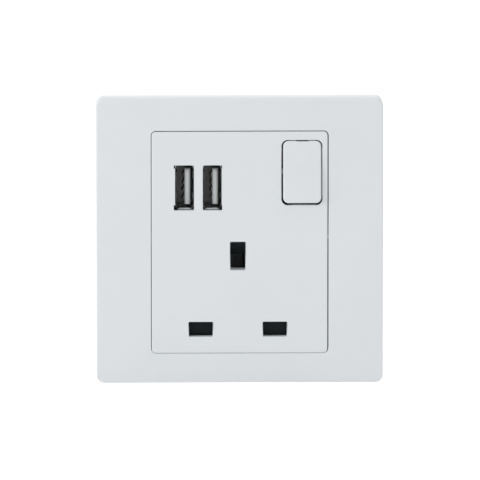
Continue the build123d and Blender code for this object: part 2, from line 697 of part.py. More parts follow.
# Switch lever: a flat strip that rocks on a pin at its back, with its upper end forward when off
lever_plane = Plane(
    origin=(ROCKER_X, -LEVER_AT, ROCKER_Z),
    x_dir=(1, 0, 0),
    z_dir=(0, -LEVER_COS, -LEVER_SIN),
)
cheek_out = LEVER_WIDTH / 2 + LEVER_CHEEK_GAP + STRIP
with BuildPart() as moving_contact:
    with BuildSketch(lever_plane.offset(LEVER_PIN_SET)):
        with Locations((0, (LEVER_HEAD - LEVER_TAIL) / 2)):
            RectangleRounded(LEVER_WIDTH, LEVER_HEAD + LEVER_TAIL, LEVER_WIDTH / 4)
    extrude(amount=LEVER_SHEET)
    with BuildSketch(Plane.YZ.offset(ROCKER_X - cheek_out)):
        with Locations((-LEVER_AT, ROCKER_Z)):
            Circle(LEVER_PIN_R)
    extrude(amount=2 * cheek_out)
save(moving_contact, "moving_contact")

with BuildPart() as moving_contact_tip:
    with BuildSketch(lever_plane.offset(LEVER_PIN_SET)):
        with Locations((0, CONTACT_ARM)):
            Circle(MOVING_TIP_R)
    extrude(amount=-MOVING_TIP_RISE)
save(moving_contact_tip, "moving_contact_tip")

with BuildPart() as fixed_contact_tip:
    rod(ROCKER_X, CONTACT_Z, FIXED_TIP_R, (BED_FRONT, FIXED_TIP_FRONT))
save(fixed_contact_tip, "fixed_contact_tip")


# Contact bracket: two cheeks that carry the lever's pin, and a strap down to the live terminal
with BuildPart() as contact_bracket:
    bed = (BED_BACK, BED_FRONT)
    block(around(ROCKER_X, cheek_out), (BRACKET_LOW, BRACKET_TOP), bed)
    cheek_front = LEVER_AT + LEVER_CHEEK_FRONT
    for cheek_x in (ROCKER_X - cheek_out, ROCKER_X + cheek_out - STRIP):
        block((cheek_x, cheek_x + STRIP), around(ROCKER_Z, LEVER_CHEEK_HALF), (BED_FRONT, cheek_front))
    notch_r = LEVER_PIN_R + LEVER_PIN_GAP
    with BuildSketch(Plane.YZ.offset(ROCKER_X - cheek_out)):
        with Locations((-LEVER_AT, ROCKER_Z)):
            Circle(notch_r)
            Rectangle(LEVER_CHEEK_FRONT, 2 * notch_r, align=(Align.MAX, Align.CENTER))
    extrude(amount=2 * cheek_out, mode=Mode.SUBTRACT)
    joggle = BED_FRONT - TERMINAL_BED
    with BuildSketch(Plane.YZ.offset(BUS_LEFT)):
        with BuildLine():
            FilletPolyline(
                (STRIP / 2 - BED_FRONT, BRACKET_LOW),
                (STRIP / 2 - BED_FRONT, BRACKET_LOW - STRIP_BEND_R),
                (STRIP / 2 - TERMINAL_BED, BRACKET_LOW - STRIP_BEND_R - joggle),
                (STRIP / 2 - TERMINAL_BED, TERMINAL_LOW + STRIP),
                radius=STRIP_BEND_R,
            )
        trace(line_width=STRIP)
    extrude(amount=STRAP_WIDTH)
    foot_z = grown((TERMINAL_LOW, TERMINAL_HIGH), -STRIP)
    block((LIVE_X - TERMINAL_X / 2, BUS_RIGHT), foot_z, (TERMINAL_FRONT, TERMINAL_BED))
save(contact_bracket, "contact_bracket")


def clip(x, z, pin_width, half_height, base_front, mouth):
    """Two sprung leaves and the base that joins them, to grip a pin by its sides."""
    half = pin_width / 2
    heel = half + CLIP_HEEL
    pinch = half - CLIP_PINCH + STRIP / 2
    flare = half + CLIP_FLARE
    base = STRIP / 2 - base_front
    with BuildSketch(Plane.XY.offset(z - half_height)) as outline:
        with BuildLine():
            FilletPolyline(
                (x - flare, -mouth),
                (x - pinch, CLIP_MOUTH_RUN - mouth),
                (x - heel, base),
                (x + heel, base),
                (x + pinch, CLIP_MOUTH_RUN - mouth),
                (x + flare, -mouth),
                radius=CLIP_BEND_R,
            )
        trace(line_width=STRIP)
    extrude(outline.sketch, amount=2 * half_height)


# Live contact: the clip, and a strap up to the fixed side of the switch
with BuildPart() as live_contact:
    clip(LIVE_X, PIN_Z, FLAT_PIN_WIDTH, FLAT_CLIP_HALF, BED_FRONT, FLAT_CLIP_MOUTH)
    riser_right = ROCKER_X - cheek_out - STRAP_CREEP
    riser_x = (riser_right - STRAP_WIDTH, riser_right)
    arm_z = around(CONTACT_Z, FIXED_TIP_R + STRIP / 2)
    block(riser_x, (PIN_Z + FLAT_CLIP_HALF - STRIP, arm_z[1]), (BED_BACK, BED_FRONT))
    block((riser_x[0], ROCKER_X + FIXED_TIP_R + STRIP / 2), arm_z, (BED_BACK, BED_FRONT))
save(live_contact, "live_contact")

# Neutral and earth contacts: each clip's base runs on to lie on its terminal
terminal_bed = (TERMINAL_FRONT, TERMINAL_BED)
with BuildPart() as neutral_contact:
    clip(NEUTRAL_X, PIN_Z, FLAT_PIN_WIDTH, FLAT_CLIP_HALF, TERMINAL_BED, FLAT_CLIP_MOUTH)
    strap_z = (PIN_Z + FLAT_CLIP_HALF - STRIP, TERMINAL_HIGH - STRIP)
    block(around(NEUTRAL_X, STRAP_WIDTH / 2), strap_z, terminal_bed)
save(neutral_contact, "neutral_contact")

with BuildPart() as earth_contact:
    earth_mouth = RAMP_BACK - SHUTTER_PIN_GAP
    clip(PIN_X, EARTH_Z, EARTH_PIN_WIDTH, EARTH_CLIP_HALF, TERMINAL_BED, earth_mouth)
    strap_z = (TERMINAL_LOW + STRIP, EARTH_Z - EARTH_CLIP_HALF + STRIP)
    block(around(PIN_X, EARTH_PIN_WIDTH / 2), strap_z, terminal_bed)
save(earth_contact, "earth_contact")


# Terminals: three like blocks in a row, each with a wire bore from below and a screw hole from behind
terminal_names = ("neutral_terminal", "earth_terminal", "live_terminal")
for name, terminal_x in zip(terminal_names, TERMINAL_PLACES):
    with BuildPart() as terminal:
        block(
            around(terminal_x, TERMINAL_X / 2),
            (TERMINAL_LOW, TERMINAL_HIGH),
            (TERMINAL_BACK, TERMINAL_FRONT),
        )
        with BuildSketch(Plane.XY.offset(TERMINAL_LOW)):
            with Locations((terminal_x, -WIRE_AT)):
                Circle(WIRE_BORE_R)
        extrude(amount=TERMINAL_Z, mode=Mode.SUBTRACT)
        thread = (TERMINAL_BACK, WIRE_AT)
        rod(terminal_x, TERMINAL_MID_Z, CLAMP_SCREW_R + THREAD_GAP, thread, mode=Mode.SUBTRACT)
    save(terminal, name)

with BuildPart() as terminal_screws:
    clamp_head = TERMINAL_BACK - CLAMP_BACKED_OFF
    clamp_tip = WIRE_AT - WIRE_BORE_R - CLAMP_TIP_GAP
    for terminal_x in TERMINAL_PLACES:
        rod(terminal_x, TERMINAL_MID_Z, CLAMP_SCREW_R, (clamp_head, clamp_tip))
        head = (clamp_head - CLAMP_HEAD_RISE, clamp_head)
        rod(terminal_x, TERMINAL_MID_Z, CLAMP_HEAD_R, head)
        block(
            around(terminal_x, CLAMP_HEAD_R),
            around(TERMINAL_MID_Z, DRIVER_SLOT / 2),
            (head[0], head[0] + DRIVER_SLOT_DEPTH),
            mode=Mode.SUBTRACT,
        )
save(terminal_screws, "terminal_screws")


# Shutter: a blade over the two lower slots, a web behind the collar, and a ramp under the earth slot
with BuildPart() as shutter:
    blade_x = (
        flat_slots[0][0] - SHUTTER_SIDE_LAP,
        flat_slots[1][1] + SHUTTER_SIDE_LAP,
    )
    web_x = around(PIN_X, SHUTTER_WEB_HALF)
    block(blade_x, (BLADE_BOTTOM, STEP_BOTTOM), (BLADE_BACK, BLADE_FRONT))
    block(web_x, (STEP_BOTTOM, STEP_TOP), (WEB_BACK, BLADE_FRONT))
    block(web_x, (STEP_BOTTOM, WEB_TOP), (WEB_BACK, WEB_FRONT))
    pin_x = around(PIN_X, EARTH_PIN_WIDTH / 2 + SHUTTER_PIN_GAP)
    pin_low = EARTH_Z - EARTH_PIN_HEIGHT / 2 - SHUTTER_TRAVEL - SHUTTER_PIN_GAP
    block(pin_x, (pin_low, RAMP_HIGH), (WEB_BACK, WEB_FRONT), mode=Mode.SUBTRACT)
    with BuildSketch(Plane.YZ.offset(PIN_X - RAMP_HALF)):
        with BuildLine():
            Polyline(
                (-WEB_FRONT, RAMP_HIGH),
                (-RAMP_BACK, RAMP_LOW),
                (-RAMP_BACK, RAMP_LOW + SHUTTER_WEB),
                (-WEB_BACK, WEB_TOP),
                (-WEB_FRONT, WEB_TOP),
                close=True,
            )
        make_face()
    extrude(amount=2 * RAMP_HALF)
    # Peg for the spring
    with BuildSketch(Plane.XY.offset(WEB_TOP)):
        with Locations((PIN_X, -SPRING_AT)):
            Circle(SPRING_PEG_R)
    extrude(amount=SPRING_PEG_RISE)
save(shutter, "shutter")

with BuildPart() as shutter_spring:
    spring_plane = Plane(origin=(PIN_X, -SPRING_AT, WEB_TOP))
    coil(SPRING_TURNS, SPRING_R, SPRING_WIRE, SPRING_LENGTH, spring_plane)
save(shutter_spring, "shutter_spring")


# Contact cover: an insulating plate on the housing's ledge, open where the pins and the ramp pass
with BuildPart() as contact_cover:
    cover = (COVER_BACK, COVER_FRONT)
    cover_x = grown(INSIDE_X, COVER_LEDGE)
    block(cover_x, (HOUSING_LOW - COVER_LEDGE, COVER_TOP), cover)
    for slot_x in flat_slots:
        block(
            grown(slot_x, COVER_PIN_GAP),
            grown(flat_slot_z, COVER_PIN_GAP),
            cover,
            mode=Mode.SUBTRACT,
        )
    block(
        around(PIN_X, RAMP_HALF + COVER_RAMP_GAP),
        (earth_slot_z[0] - COVER_RAMP_GAP, COVER_TOP),
        cover,
        mode=Mode.SUBTRACT,
    )
    # Corners cut away round the lower screw bosses
    for (boss_x, boss_z), edge in zip(BOSS_PLACES[:2], cover_x):
        side = 1 if edge > boss_x else -1
        inner = boss_x - side * (BOSS_R + COVER_BOSS_GAP)
        block(
            (min(inner, edge), max(inner, edge)),
            (HOUSING_LOW - COVER_LEDGE, boss_z + BOSS_R + COVER_BOSS_GAP),
            cover,
            mode=Mode.SUBTRACT,
        )
save(contact_cover, "contact_cover")


# USB ports: a folded shell, an insulator with its tongue, and four bowed contacts, for each port
for side, usb_x in USB_PLACES.items():
    shell = (USB_BACK, USB_MOUTH)
    shell_x = around(usb_x, USB_SHELL_X / 2)
    shell_z = around(USB_Z, USB_SHELL_Z / 2)
    bore_x = grown(shell_x, -USB_SHELL_WALL)
    bore_z = grown(shell_z, -USB_SHELL_WALL)
    bore_r = USB_SHELL_R - USB_SHELL_WALL
    with BuildPart() as usb_shell:
        block(shell_x, shell_z, shell, USB_SHELL_R)
        block(bore_x, bore_z, shell, bore_r, mode=Mode.SUBTRACT)
        chamfer(usb_shell.faces().sort_by(Axis.Y)[0].inner_wires()[0].edges(), USB_MOUTH_FLARE)
    save(usb_shell, f"usb_shell_{side}")

    base = (USB_BACK, USB_BACK + TONGUE_BASE)
    tongue_x = around(usb_x + TONGUE_SHIFT, TONGUE_X / 2)
    tongue_tip = USB_MOUTH - TONGUE_RECESS
    with BuildPart() as usb_tongue:
        block(grown(bore_x, -TONGUE_BASE_GAP), grown(bore_z, -TONGUE_BASE_GAP), base, bore_r)
        block(tongue_x, around(USB_Z, TONGUE_Z / 2), (base[1], tongue_tip))
        chamfer(usb_tongue.faces().sort_by(Axis.Y)[0].edges(), TONGUE_EDGE)
    save(usb_tongue, f"usb_tongue_{side}")

    with BuildPart() as usb_contacts:
        flat = tongue_x[0] - USB_CONTACT_SHEET / 2
        tip = tongue_tip - USB_CONTACT_RECESS
        for place in USB_CONTACT_PLACES:
            with BuildSketch(Plane.XY.offset(USB_Z + place - USB_CONTACT_WIDTH / 2)):
                with BuildLine():
                    FilletPolyline(
                        (flat, -base[1]),
                        (flat, 2 * USB_CONTACT_RUN - tip),
                        (flat - USB_CONTACT_BOW, USB_CONTACT_RUN - tip),
                        (flat, -tip),
                        radius=USB_CONTACT_BEND_R,
                    )
                trace(line_width=USB_CONTACT_SHEET)
            extrude(amount=USB_CONTACT_WIDTH)
    save(usb_contacts, f"usb_contacts_{side}")


# Charger board, notched round the two upper screw bosses
with BuildPart() as circuit_board:
    board = (BOARD_BACK, USB_BACK)
    block((BOARD_LEFT_EDGE, BOARD_RIGHT_EDGE), (BOARD_LOW_EDGE, BOARD_HIGH_EDGE), board)
    notch_z = (BOSS_PLACES[2][1] - BOSS_R - BOARD_EDGE_GAP, BOARD_HIGH_EDGE)
    left_notch = (BOARD_LEFT_EDGE, BOSS_PLACES[2][0] + BOSS_R + BOARD_EDGE_GAP)
    right_notch = (BOSS_PLACES[3][0] - BOSS_R - BOARD_EDGE_GAP, BOARD_RIGHT_EDGE)
    block(left_notch, notch_z, board, mode=Mode.SUBTRACT)
    block(right_notch, notch_z, board, mode=Mode.SUBTRACT)
    for post_x, post_z in board_posts:
        rod(post_x, post_z, BOARD_PIN_R + BOARD_PIN_GAP, board, mode=Mode.SUBTRACT)
save(circuit_board, "circuit_board")

# Transformer: a ferrite core with two windows, and the winding round its middle leg
core_x = USB_PLACES["left"] + CORE_PLACE[0]
core_z = USB_Z + CORE_PLACE[1]
core_depth = (BOARD_BACK - CORE_DEPTH, BOARD_BACK)
core_span_z = around(core_z, CORE_Z / 2)
window_in = CORE_MIDDLE / 2
window_out = CORE_X / 2 - CORE_LEG
window_depth = grown(core_depth, -CORE_LEG)
with BuildPart() as transformer_core:
    block(around(core_x, CORE_X / 2), core_span_z, core_depth)
    block((core_x - window_out, core_x - window_in), core_span_z, window_depth, mode=Mode.SUBTRACT)
    block((core_x + window_in, core_x + window_out), core_span_z, window_depth, mode=Mode.SUBTRACT)
save(transformer_core, "transformer_core")

with BuildPart() as transformer_winding:
    coil_depth = grown(window_depth, -COIL_GAP)
    block(around(core_x, window_out - COIL_GAP), around(core_z, COIL_Z / 2), coil_depth, COIL_R)
    block(
        around(core_x, window_in + COIL_GAP),
        grown(core_span_z, COIL_GAP),
        coil_depth,
        mode=Mode.SUBTRACT,
    )
save(transformer_winding, "transformer_winding")


def capacitor(place, radius, height):
    """A can capacitor that stands on the back of the board, with a bead rolled in near its foot."""
    can_x = USB_PLACES["left"] + place[0]
    can_z = USB_Z + place[1]
    rod(can_x, can_z, radius, (BOARD_BACK - height, BOARD_BACK))
    with BuildSketch(at(BOARD_BACK - CAP_BEAD_UP)) as bead:
        with Locations((can_x, can_z)):
            Circle(radius)
            Circle(radius - CAP_BEAD_R / 2, mode=Mode.SUBTRACT)
    extrude(bead.sketch, amount=-CAP_BEAD_R, mode=Mode.SUBTRACT)


with BuildPart() as input_capacitor:
    capacitor(INPUT_CAP_PLACE, INPUT_CAP_R, INPUT_CAP_LENGTH)
save(input_capacitor, "input_capacitor")

with BuildPart() as output_capacitor:
    capacitor(OUTPUT_CAP_PLACE, OUTPUT_CAP_R, OUTPUT_CAP_LENGTH)
save(output_capacitor, "output_capacitor")


def chip(place, body):
    """A moulded chip that lies flat on the front of the board."""
    chip_x = around(USB_PLACES["left"] + place[0], body[0] / 2)
    chip_z = around(USB_Z + place[1], body[1] / 2)
    block(chip_x, chip_z, (USB_BACK, USB_BACK + body[2]))


with BuildPart() as rectifier:
    chip(RECTIFIER_PLACE, RECTIFIER_SIZE)
save(rectifier, "rectifier")

with BuildPart() as controller:
    chip(CONTROLLER_PLACE, CONTROLLER_SIZE)
save(controller, "controller")


def lead(start_x, terminal_x, side):
    """An insulated wire from the lower edge of the board to the top of a terminal."""
    start_z = BOARD_LOW_EDGE + 2 * LEAD_R
    end_x = terminal_x + side * (TERMINAL_X / 2 - LEAD_CORNER)
    end_y = -TERMINAL_BACK - 2 * LEAD_R
    half_way = (start_z + TERMINAL_HIGH) / 2
    with BuildLine() as route:
        FilletPolyline(
            (start_x, -BOARD_BACK, start_z),
            (start_x, (end_y - BOARD_BACK) / 2, start_z),
            ((start_x + end_x) / 2, end_y, half_way),
            (end_x, end_y, (half_way + TERMINAL_HIGH) / 2),
            (end_x, end_y, TERMINAL_HIGH),
            radius=LEAD_BEND_R,
        )
    with BuildSketch(Plane(origin=route.line @ 0, z_dir=route.line % 0)) as section:
        Circle(LEAD_R)
    sweep(section.sketch, path=route.line)


with BuildPart() as neutral_lead:
    lead(BOARD_LEFT_EDGE + 3 * LEAD_R, NEUTRAL_X, -1)
save(neutral_lead, "neutral_lead")

with BuildPart() as live_lead:
    lead(BOARD_RIGHT_EDGE - 2 * LEAD_R, LIVE_X, -1)
save(live_lead, "live_lead")


# Back housing: a deep tray with a flange behind the yoke and a spigot through the yoke's window
with BuildPart() as back_housing:
    body_x = grown(INSIDE_X, HOUSING_WALL)
    body_z = grown(INSIDE_Z, HOUSING_WALL)
    block(body_x, body_z, (-HOUSING_DEPTH, 0), HOUSING_CORNER_R)
    fillet(back_housing.faces().sort_by(Axis.Y)[-1].edges(), HOUSING_EDGE_R)
    flange_x = grown(FACE_SPAN_X, -FLANGE_INSET)
    flange_z = grown(FACE_SPAN_Z, -FLANGE_INSET)
    block(flange_x, flange_z, (-FLANGE_SHEET, 0), HOUSING_CORNER_R)
    for rib in RIB_PLACES:
        rib_z = around(FACE_Z + rib, RIB_WIDTH / 2)
        block(grown(body_x, RIB_RISE), rib_z, (HOUSING_EDGE_R - HOUSING_DEPTH, -FLANGE_SHEET))
    spigot_in_x = grown(INSIDE_X, SPIGOT_INSIDE)
    spigot_in_z = grown(INSIDE_Z, SPIGOT_INSIDE)
    block(spigot_x, spigot_z, (0, SPIGOT_RISE), HOUSING_CORNER_R)
    block(spigot_in_x, spigot_in_z, (COVER_BACK, SPIGOT_RISE), mode=Mode.SUBTRACT)
    block(INSIDE_X, INSIDE_Z, (HOUSING_FLOOR, COVER_BACK), mode=Mode.SUBTRACT)
    # Wells for the assembly screws
    for boss_x, boss_z in BOSS_PLACES:
        rod(boss_x, boss_z, WELL_R + WELL_WALL, (HOUSING_FLOOR, BOSS_END))
        rod(boss_x, boss_z, WELL_R, (-HOUSING_DEPTH, WELL_SEAT), mode=Mode.SUBTRACT)
        rod(boss_x, boss_z, SCREW_R + SCREW_HOLE_GAP, (WELL_SEAT, BOSS_END), mode=Mode.SUBTRACT)
    # Wire windows in the bottom wall, and driver holes, pads and barriers for the terminals
    floor = (HOUSING_FLOOR, TERMINAL_BACK)
    for terminal_x in TERMINAL_PLACES:
        with BuildSketch(Plane.XY.offset(HOUSING_LOW - HOUSING_WALL)):
            with Locations((terminal_x, -WIRE_AT)):
                RectangleRounded(WIRE_WINDOW_X, WIRE_WINDOW_Y, WIRE_WINDOW_R)
        extrude(amount=HOUSING_WALL, mode=Mode.SUBTRACT)
        access = (-HOUSING_DEPTH, HOUSING_FLOOR)
        access_r = CLAMP_HEAD_R + CLAMP_ACCESS_GAP
        rod(terminal_x, TERMINAL_MID_Z, access_r, access, mode=Mode.SUBTRACT)
        pad_x = around(terminal_x, TERMINAL_X / 2)
        block(pad_x, (TERMINAL_LOW, TERMINAL_LOW + PAD_WALL), floor)
        block(pad_x, (TERMINAL_HIGH - PAD_WALL, TERMINAL_HIGH), floor)
    for side in (-1, 1):
        barrier_x = around(PIN_X + side * PIN_PITCH / 4, BARRIER_WALL / 2)
        block(barrier_x, grown((TERMINAL_LOW, TERMINAL_HIGH), BARRIER_LAP), (HOUSING_FLOOR, TERMINAL_FRONT))
    # Posts under the earth clip, the switch bracket and the fixed contact, and a shelf under the live clip
    block(
        around(PIN_X, EARTH_PIN_WIDTH / 2),
        around(EARTH_Z, EARTH_CLIP_HALF - STRIP),
        (HOUSING_FLOOR, TERMINAL_FRONT),
    )
    block(
        around(ROCKER_X, LEVER_WIDTH / 2),
        (BRACKET_LOW + STRIP, BRACKET_TOP - STRIP),
        (HOUSING_FLOOR, BED_BACK),
    )
    block(
        around(ROCKER_X, LEVER_WIDTH / 2),
        around(CONTACT_Z, FIXED_TIP_R - STRIP),
        (HOUSING_FLOOR, BED_BACK),
    )
    block(
        around(LIVE_X, FLAT_PIN_WIDTH / 2),
        (HOUSING_LOW, PIN_Z - STRIP),
        (BED_BACK - HOUSING_WALL, BED_BACK),
    )
    # Vents over the charger, softened mouths at the back, and a sunk panel there
    for vent in range(VENT_COUNT):
        vent_x = USB_PLACES["left"] + VENT_FIRST + vent * VENT_PITCH
        block(
            around(vent_x, VENT_WIDTH / 2),
            (HOUSING_HIGH, HOUSING_HIGH + HOUSING_WALL),
            VENT_DEPTHS,
            mode=Mode.SUBTRACT,
        )
    mouths = back_housing.faces().sort_by(Axis.Y)[-1].inner_wires()
    chamfer([edge for wire in mouths for edge in wire.edges()], HOUSING_MOUTH_EDGE)
    block(
        around(FACE_X, PANEL_X / 2),
        around(FACE_Z + PANEL_UP, PANEL_Z / 2),
        (-HOUSING_DEPTH, PANEL_SUNK - HOUSING_DEPTH),
        PANEL_R,
        mode=Mode.SUBTRACT,
    )
save(back_housing, "back_housing")

with BuildPart() as assembly_screws:
    for boss_x, boss_z in BOSS_PLACES:
        rod(boss_x, boss_z, SCREW_R, (WELL_SEAT, WELL_SEAT + SCREW_LENGTH))
        head = (WELL_SEAT - SCREW_HEAD_RISE, WELL_SEAT)
        rod(boss_x, boss_z, SCREW_HEAD_R, head)
        block(
            around(boss_x, SCREW_HEAD_R),
            around(boss_z, DRIVER_SLOT / 2),
            (head[0], head[0] + DRIVER_SLOT_DEPTH),
            mode=Mode.SUBTRACT,
        )
save(assembly_screws, "assembly_screws")
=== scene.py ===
# %% [markdown]
# # A switched wall socket with two charging ports
# The solids of this socket were drawn in CAD, and they arrive here as a fixed frame: every node already
# has its place and its size. What is left for Blender is how the thing looks. This lesson sets up a
# camera and soft light like a product photograph's, gives every moulding, spring and brass strip its
# finish, and models the small sheet metal and screw details that a CAD solid leaves plain.

# %% Load the frame
import math

import bmesh
import bpy
from mathutils import Matrix, Vector


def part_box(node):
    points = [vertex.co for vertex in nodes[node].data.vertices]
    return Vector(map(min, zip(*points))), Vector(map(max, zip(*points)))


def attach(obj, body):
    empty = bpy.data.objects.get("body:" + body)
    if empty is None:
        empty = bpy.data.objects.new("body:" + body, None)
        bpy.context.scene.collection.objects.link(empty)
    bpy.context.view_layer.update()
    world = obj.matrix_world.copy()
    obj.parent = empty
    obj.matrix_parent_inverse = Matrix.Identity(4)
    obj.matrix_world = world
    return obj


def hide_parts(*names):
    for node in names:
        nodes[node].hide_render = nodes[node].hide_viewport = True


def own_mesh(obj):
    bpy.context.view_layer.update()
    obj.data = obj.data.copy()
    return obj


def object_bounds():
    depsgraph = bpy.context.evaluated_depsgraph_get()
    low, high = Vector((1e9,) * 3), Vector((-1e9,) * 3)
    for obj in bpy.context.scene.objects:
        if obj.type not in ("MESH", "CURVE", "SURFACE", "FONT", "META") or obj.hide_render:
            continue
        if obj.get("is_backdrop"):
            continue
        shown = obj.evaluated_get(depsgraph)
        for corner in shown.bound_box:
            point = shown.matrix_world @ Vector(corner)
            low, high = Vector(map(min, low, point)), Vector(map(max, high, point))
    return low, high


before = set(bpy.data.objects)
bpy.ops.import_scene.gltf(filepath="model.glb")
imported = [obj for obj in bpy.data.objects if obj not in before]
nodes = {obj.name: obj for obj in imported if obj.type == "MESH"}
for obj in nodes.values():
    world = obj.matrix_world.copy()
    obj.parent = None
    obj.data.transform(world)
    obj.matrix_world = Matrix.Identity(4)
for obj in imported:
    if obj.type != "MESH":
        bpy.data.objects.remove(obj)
cad_low, cad_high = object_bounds()
MM = 0.001
MM_A_METRE = 1000
print(len(nodes), "nodes,", [round(side / MM, 1) for side in cad_high - cad_low], "mm overall")

# %% [markdown]
# ## Camera
# A catalogue picture is taken with a long lens from far away, so the square plate hardly tapers. We
# could use an orthographic camera, but a long lens on a real distance keeps a trace of perspective, and
# other views of the scene stay natural. The lens follows from the distance and from how many
# millimetres of the plate fall on one dot of the picture. The camera stands a little above the plate
# and a touch to its left: the top edge shows, and level lines rise to the right while upright lines
# stay upright.

# %% Camera
PICTURE_DOTS = 480
MM_A_DOT = 0.29955
CAMERA_DISTANCE = 3.0
CAMERA_SIGHT = 20.0
CAMERA_LIFT = math.radians(9.0)
CAMERA_LEFT = math.radians(1.15)
AIM = Vector((0.098, -9.5, 0.374)) * MM

camera_data = bpy.data.cameras.new("product_camera")
camera_data.lens = camera_data.sensor_width * CAMERA_DISTANCE / (PICTURE_DOTS * MM_A_DOT * MM)
camera_data.clip_end = CAMERA_SIGHT
camera = bpy.data.objects.new("product_camera", camera_data)
bpy.context.scene.collection.objects.link(camera)
level = Vector((-math.sin(CAMERA_LEFT), -math.cos(CAMERA_LEFT), 0))
back = level * math.cos(CAMERA_LIFT) + Vector((0, 0, math.sin(CAMERA_LIFT)))
turn = (-back).to_track_quat("-Z", "Y").to_matrix().to_4x4()
camera.matrix_world = Matrix.Translation(AIM + back * CAMERA_DISTANCE) @ turn
bpy.context.scene.camera = camera
bpy.context.scene.view_settings.view_transform = "Standard"
print("lens", round(camera_data.lens), "mm")

# %% [markdown]
# ## Light
# The plate in the picture is evenly lit, as between white walls, and the proud end of the rocker throws
# only a faint shadow to its right. So the world gives most of the light, a weak soft lamp stands far to
# the left, and a second one hangs straight above, where it brightens the upper side and the floor but
# hardly grazes the front. The camera, mirrors and clear pieces should see a white studio, so Light Path
# hands those rays a white of strength 1, and only the others get the softer level.

# %% World and lamps
WALL_LIGHT = 0.768
STUDIO_WHITE = (1, 1, 1, 1)
world = bpy.data.worlds.new("white_studio")
world.use_nodes = True
bpy.context.scene.world = world
sky = world.node_tree
walls = sky.nodes["Background"]
walls.inputs["Strength"].default_value = WALL_LIGHT
walls.inputs["Color"].default_value = STUDIO_WHITE
seen = sky.nodes.new("ShaderNodeBackground")
seen.inputs["Color"].default_value = STUDIO_WHITE
seen.inputs["Strength"].default_value = 1.0


def sees_studio(tree):
    """A factor that is 1 for the rays that show the studio itself: camera, glossy and transmission."""
    path = tree.nodes.new("ShaderNodeLightPath")
    mirrors = tree.nodes.new("ShaderNodeMath")
    mirrors.operation = "MAXIMUM"
    tree.links.new(path.outputs["Is Glossy Ray"], mirrors.inputs[0])
    tree.links.new(path.outputs["Is Transmission Ray"], mirrors.inputs[1])
    either = tree.nodes.new("ShaderNodeMath")
    either.operation = "MAXIMUM"
    tree.links.new(path.outputs["Is Camera Ray"], either.inputs[0])
    tree.links.new(mirrors.outputs[0], either.inputs[1])
    return either.outputs[0]


choose = sky.nodes.new("ShaderNodeMixShader")
sky.links.new(sees_studio(sky), choose.inputs["Fac"])
sky.links.new(walls.outputs[0], choose.inputs[1])
sky.links.new(seen.outputs[0], choose.inputs[2])
sky.links.new(choose.outputs[0], sky.nodes["World Output"].inputs["Surface"])


def soft_box(name, place, size, watts):
    """A square lamp at a place, turned to the middle of the plate."""
    data = bpy.data.lights.new(name, "AREA")
    data.size = size
    data.energy = watts
    lamp = bpy.data.objects.new(name, data)
    bpy.context.scene.collection.objects.link(lamp)
    away = Vector(place).normalized()
    turn = away.to_track_quat("Z", "Y").to_matrix().to_4x4()
    lamp.matrix_world = Matrix.Translation(Vector(place)) @ turn
    return lamp


key = soft_box("left_lamp", place=(-0.8, -0.42, 0.22), size=0.45, watts=2.5)
upper = soft_box("upper_lamp", place=(0.1, 0.0, 0.9), size=0.6, watts=1.75)
print("lamps:", key.name, upper.name)

# %% [markdown]
# ## Floor
# The plate stands on a white sweep that melts into the background. A plain diffuse floor would come out
# grey next to a pure white world, so rays from the camera and from mirrors also get some glow from it.
# Most of the floor then reaches white, and only the closest part of the shadow is left. The glow lights
# nothing else. The floor lies a hair below the plate, so that the two flat faces do not flicker into
# each other.

# %% Floor
FLOOR_GLOW = 0.62
FLOOR_DROP = 0.02 * MM
FLOOR_REACH = 4.0
PAPER_WHITE = (0.92, 0.92, 0.92, 1)
floor_mesh = bmesh.new()
bmesh.ops.create_grid(floor_mesh, x_segments=1, y_segments=1, size=FLOOR_REACH)
bmesh.ops.translate(floor_mesh, verts=floor_mesh.verts, vec=(0, 0, cad_low.z - FLOOR_DROP))
floor_data = bpy.data.meshes.new("floor")
floor_mesh.to_mesh(floor_data)
floor_mesh.free()
floor = bpy.data.objects.new("floor", floor_data)
bpy.context.scene.collection.objects.link(floor)
floor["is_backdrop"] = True

paper = bpy.data.materials.new("white_paper")
paper.use_nodes = True
tree = paper.node_tree
sheet = tree.nodes["Principled BSDF"]
sheet.inputs["Base Color"].default_value = PAPER_WHITE
sheet.inputs["Roughness"].default_value = 0.9
sheet.inputs["Emission Color"].default_value = STUDIO_WHITE
glow = tree.nodes.new("ShaderNodeMath")
glow.operation = "MULTIPLY"
glow.inputs[1].default_value = FLOOR_GLOW
tree.links.new(sees_studio(tree), glow.inputs[0])
tree.links.new(glow.outputs[0], sheet.inputs["Emission Strength"])
floor_data.materials.append(paper)
print("floor at", round((cad_low.z - FLOOR_DROP) / MM, 2), "mm")

# %% [markdown]
# ## Tools for finishes
# Every finish below is procedural and reads Object coordinates. All objects sit at the origin, so those
# coordinates are metres in the real part and a grain of 0.2 mm is simply a noise scale of 1000 / 0.2. A
# stretched noise gives rolling and drawing lines. Most of what a noise gives lies between 0.3 and 0.7,
# so that range is spread over the values wanted. What is the same all over a surface is typed straight
# into the shader's own socket, and only what varies is wired.

# %% Tools for finishes
NOISE_LOW, NOISE_HIGH = 0.3, 0.7
finishes = {}


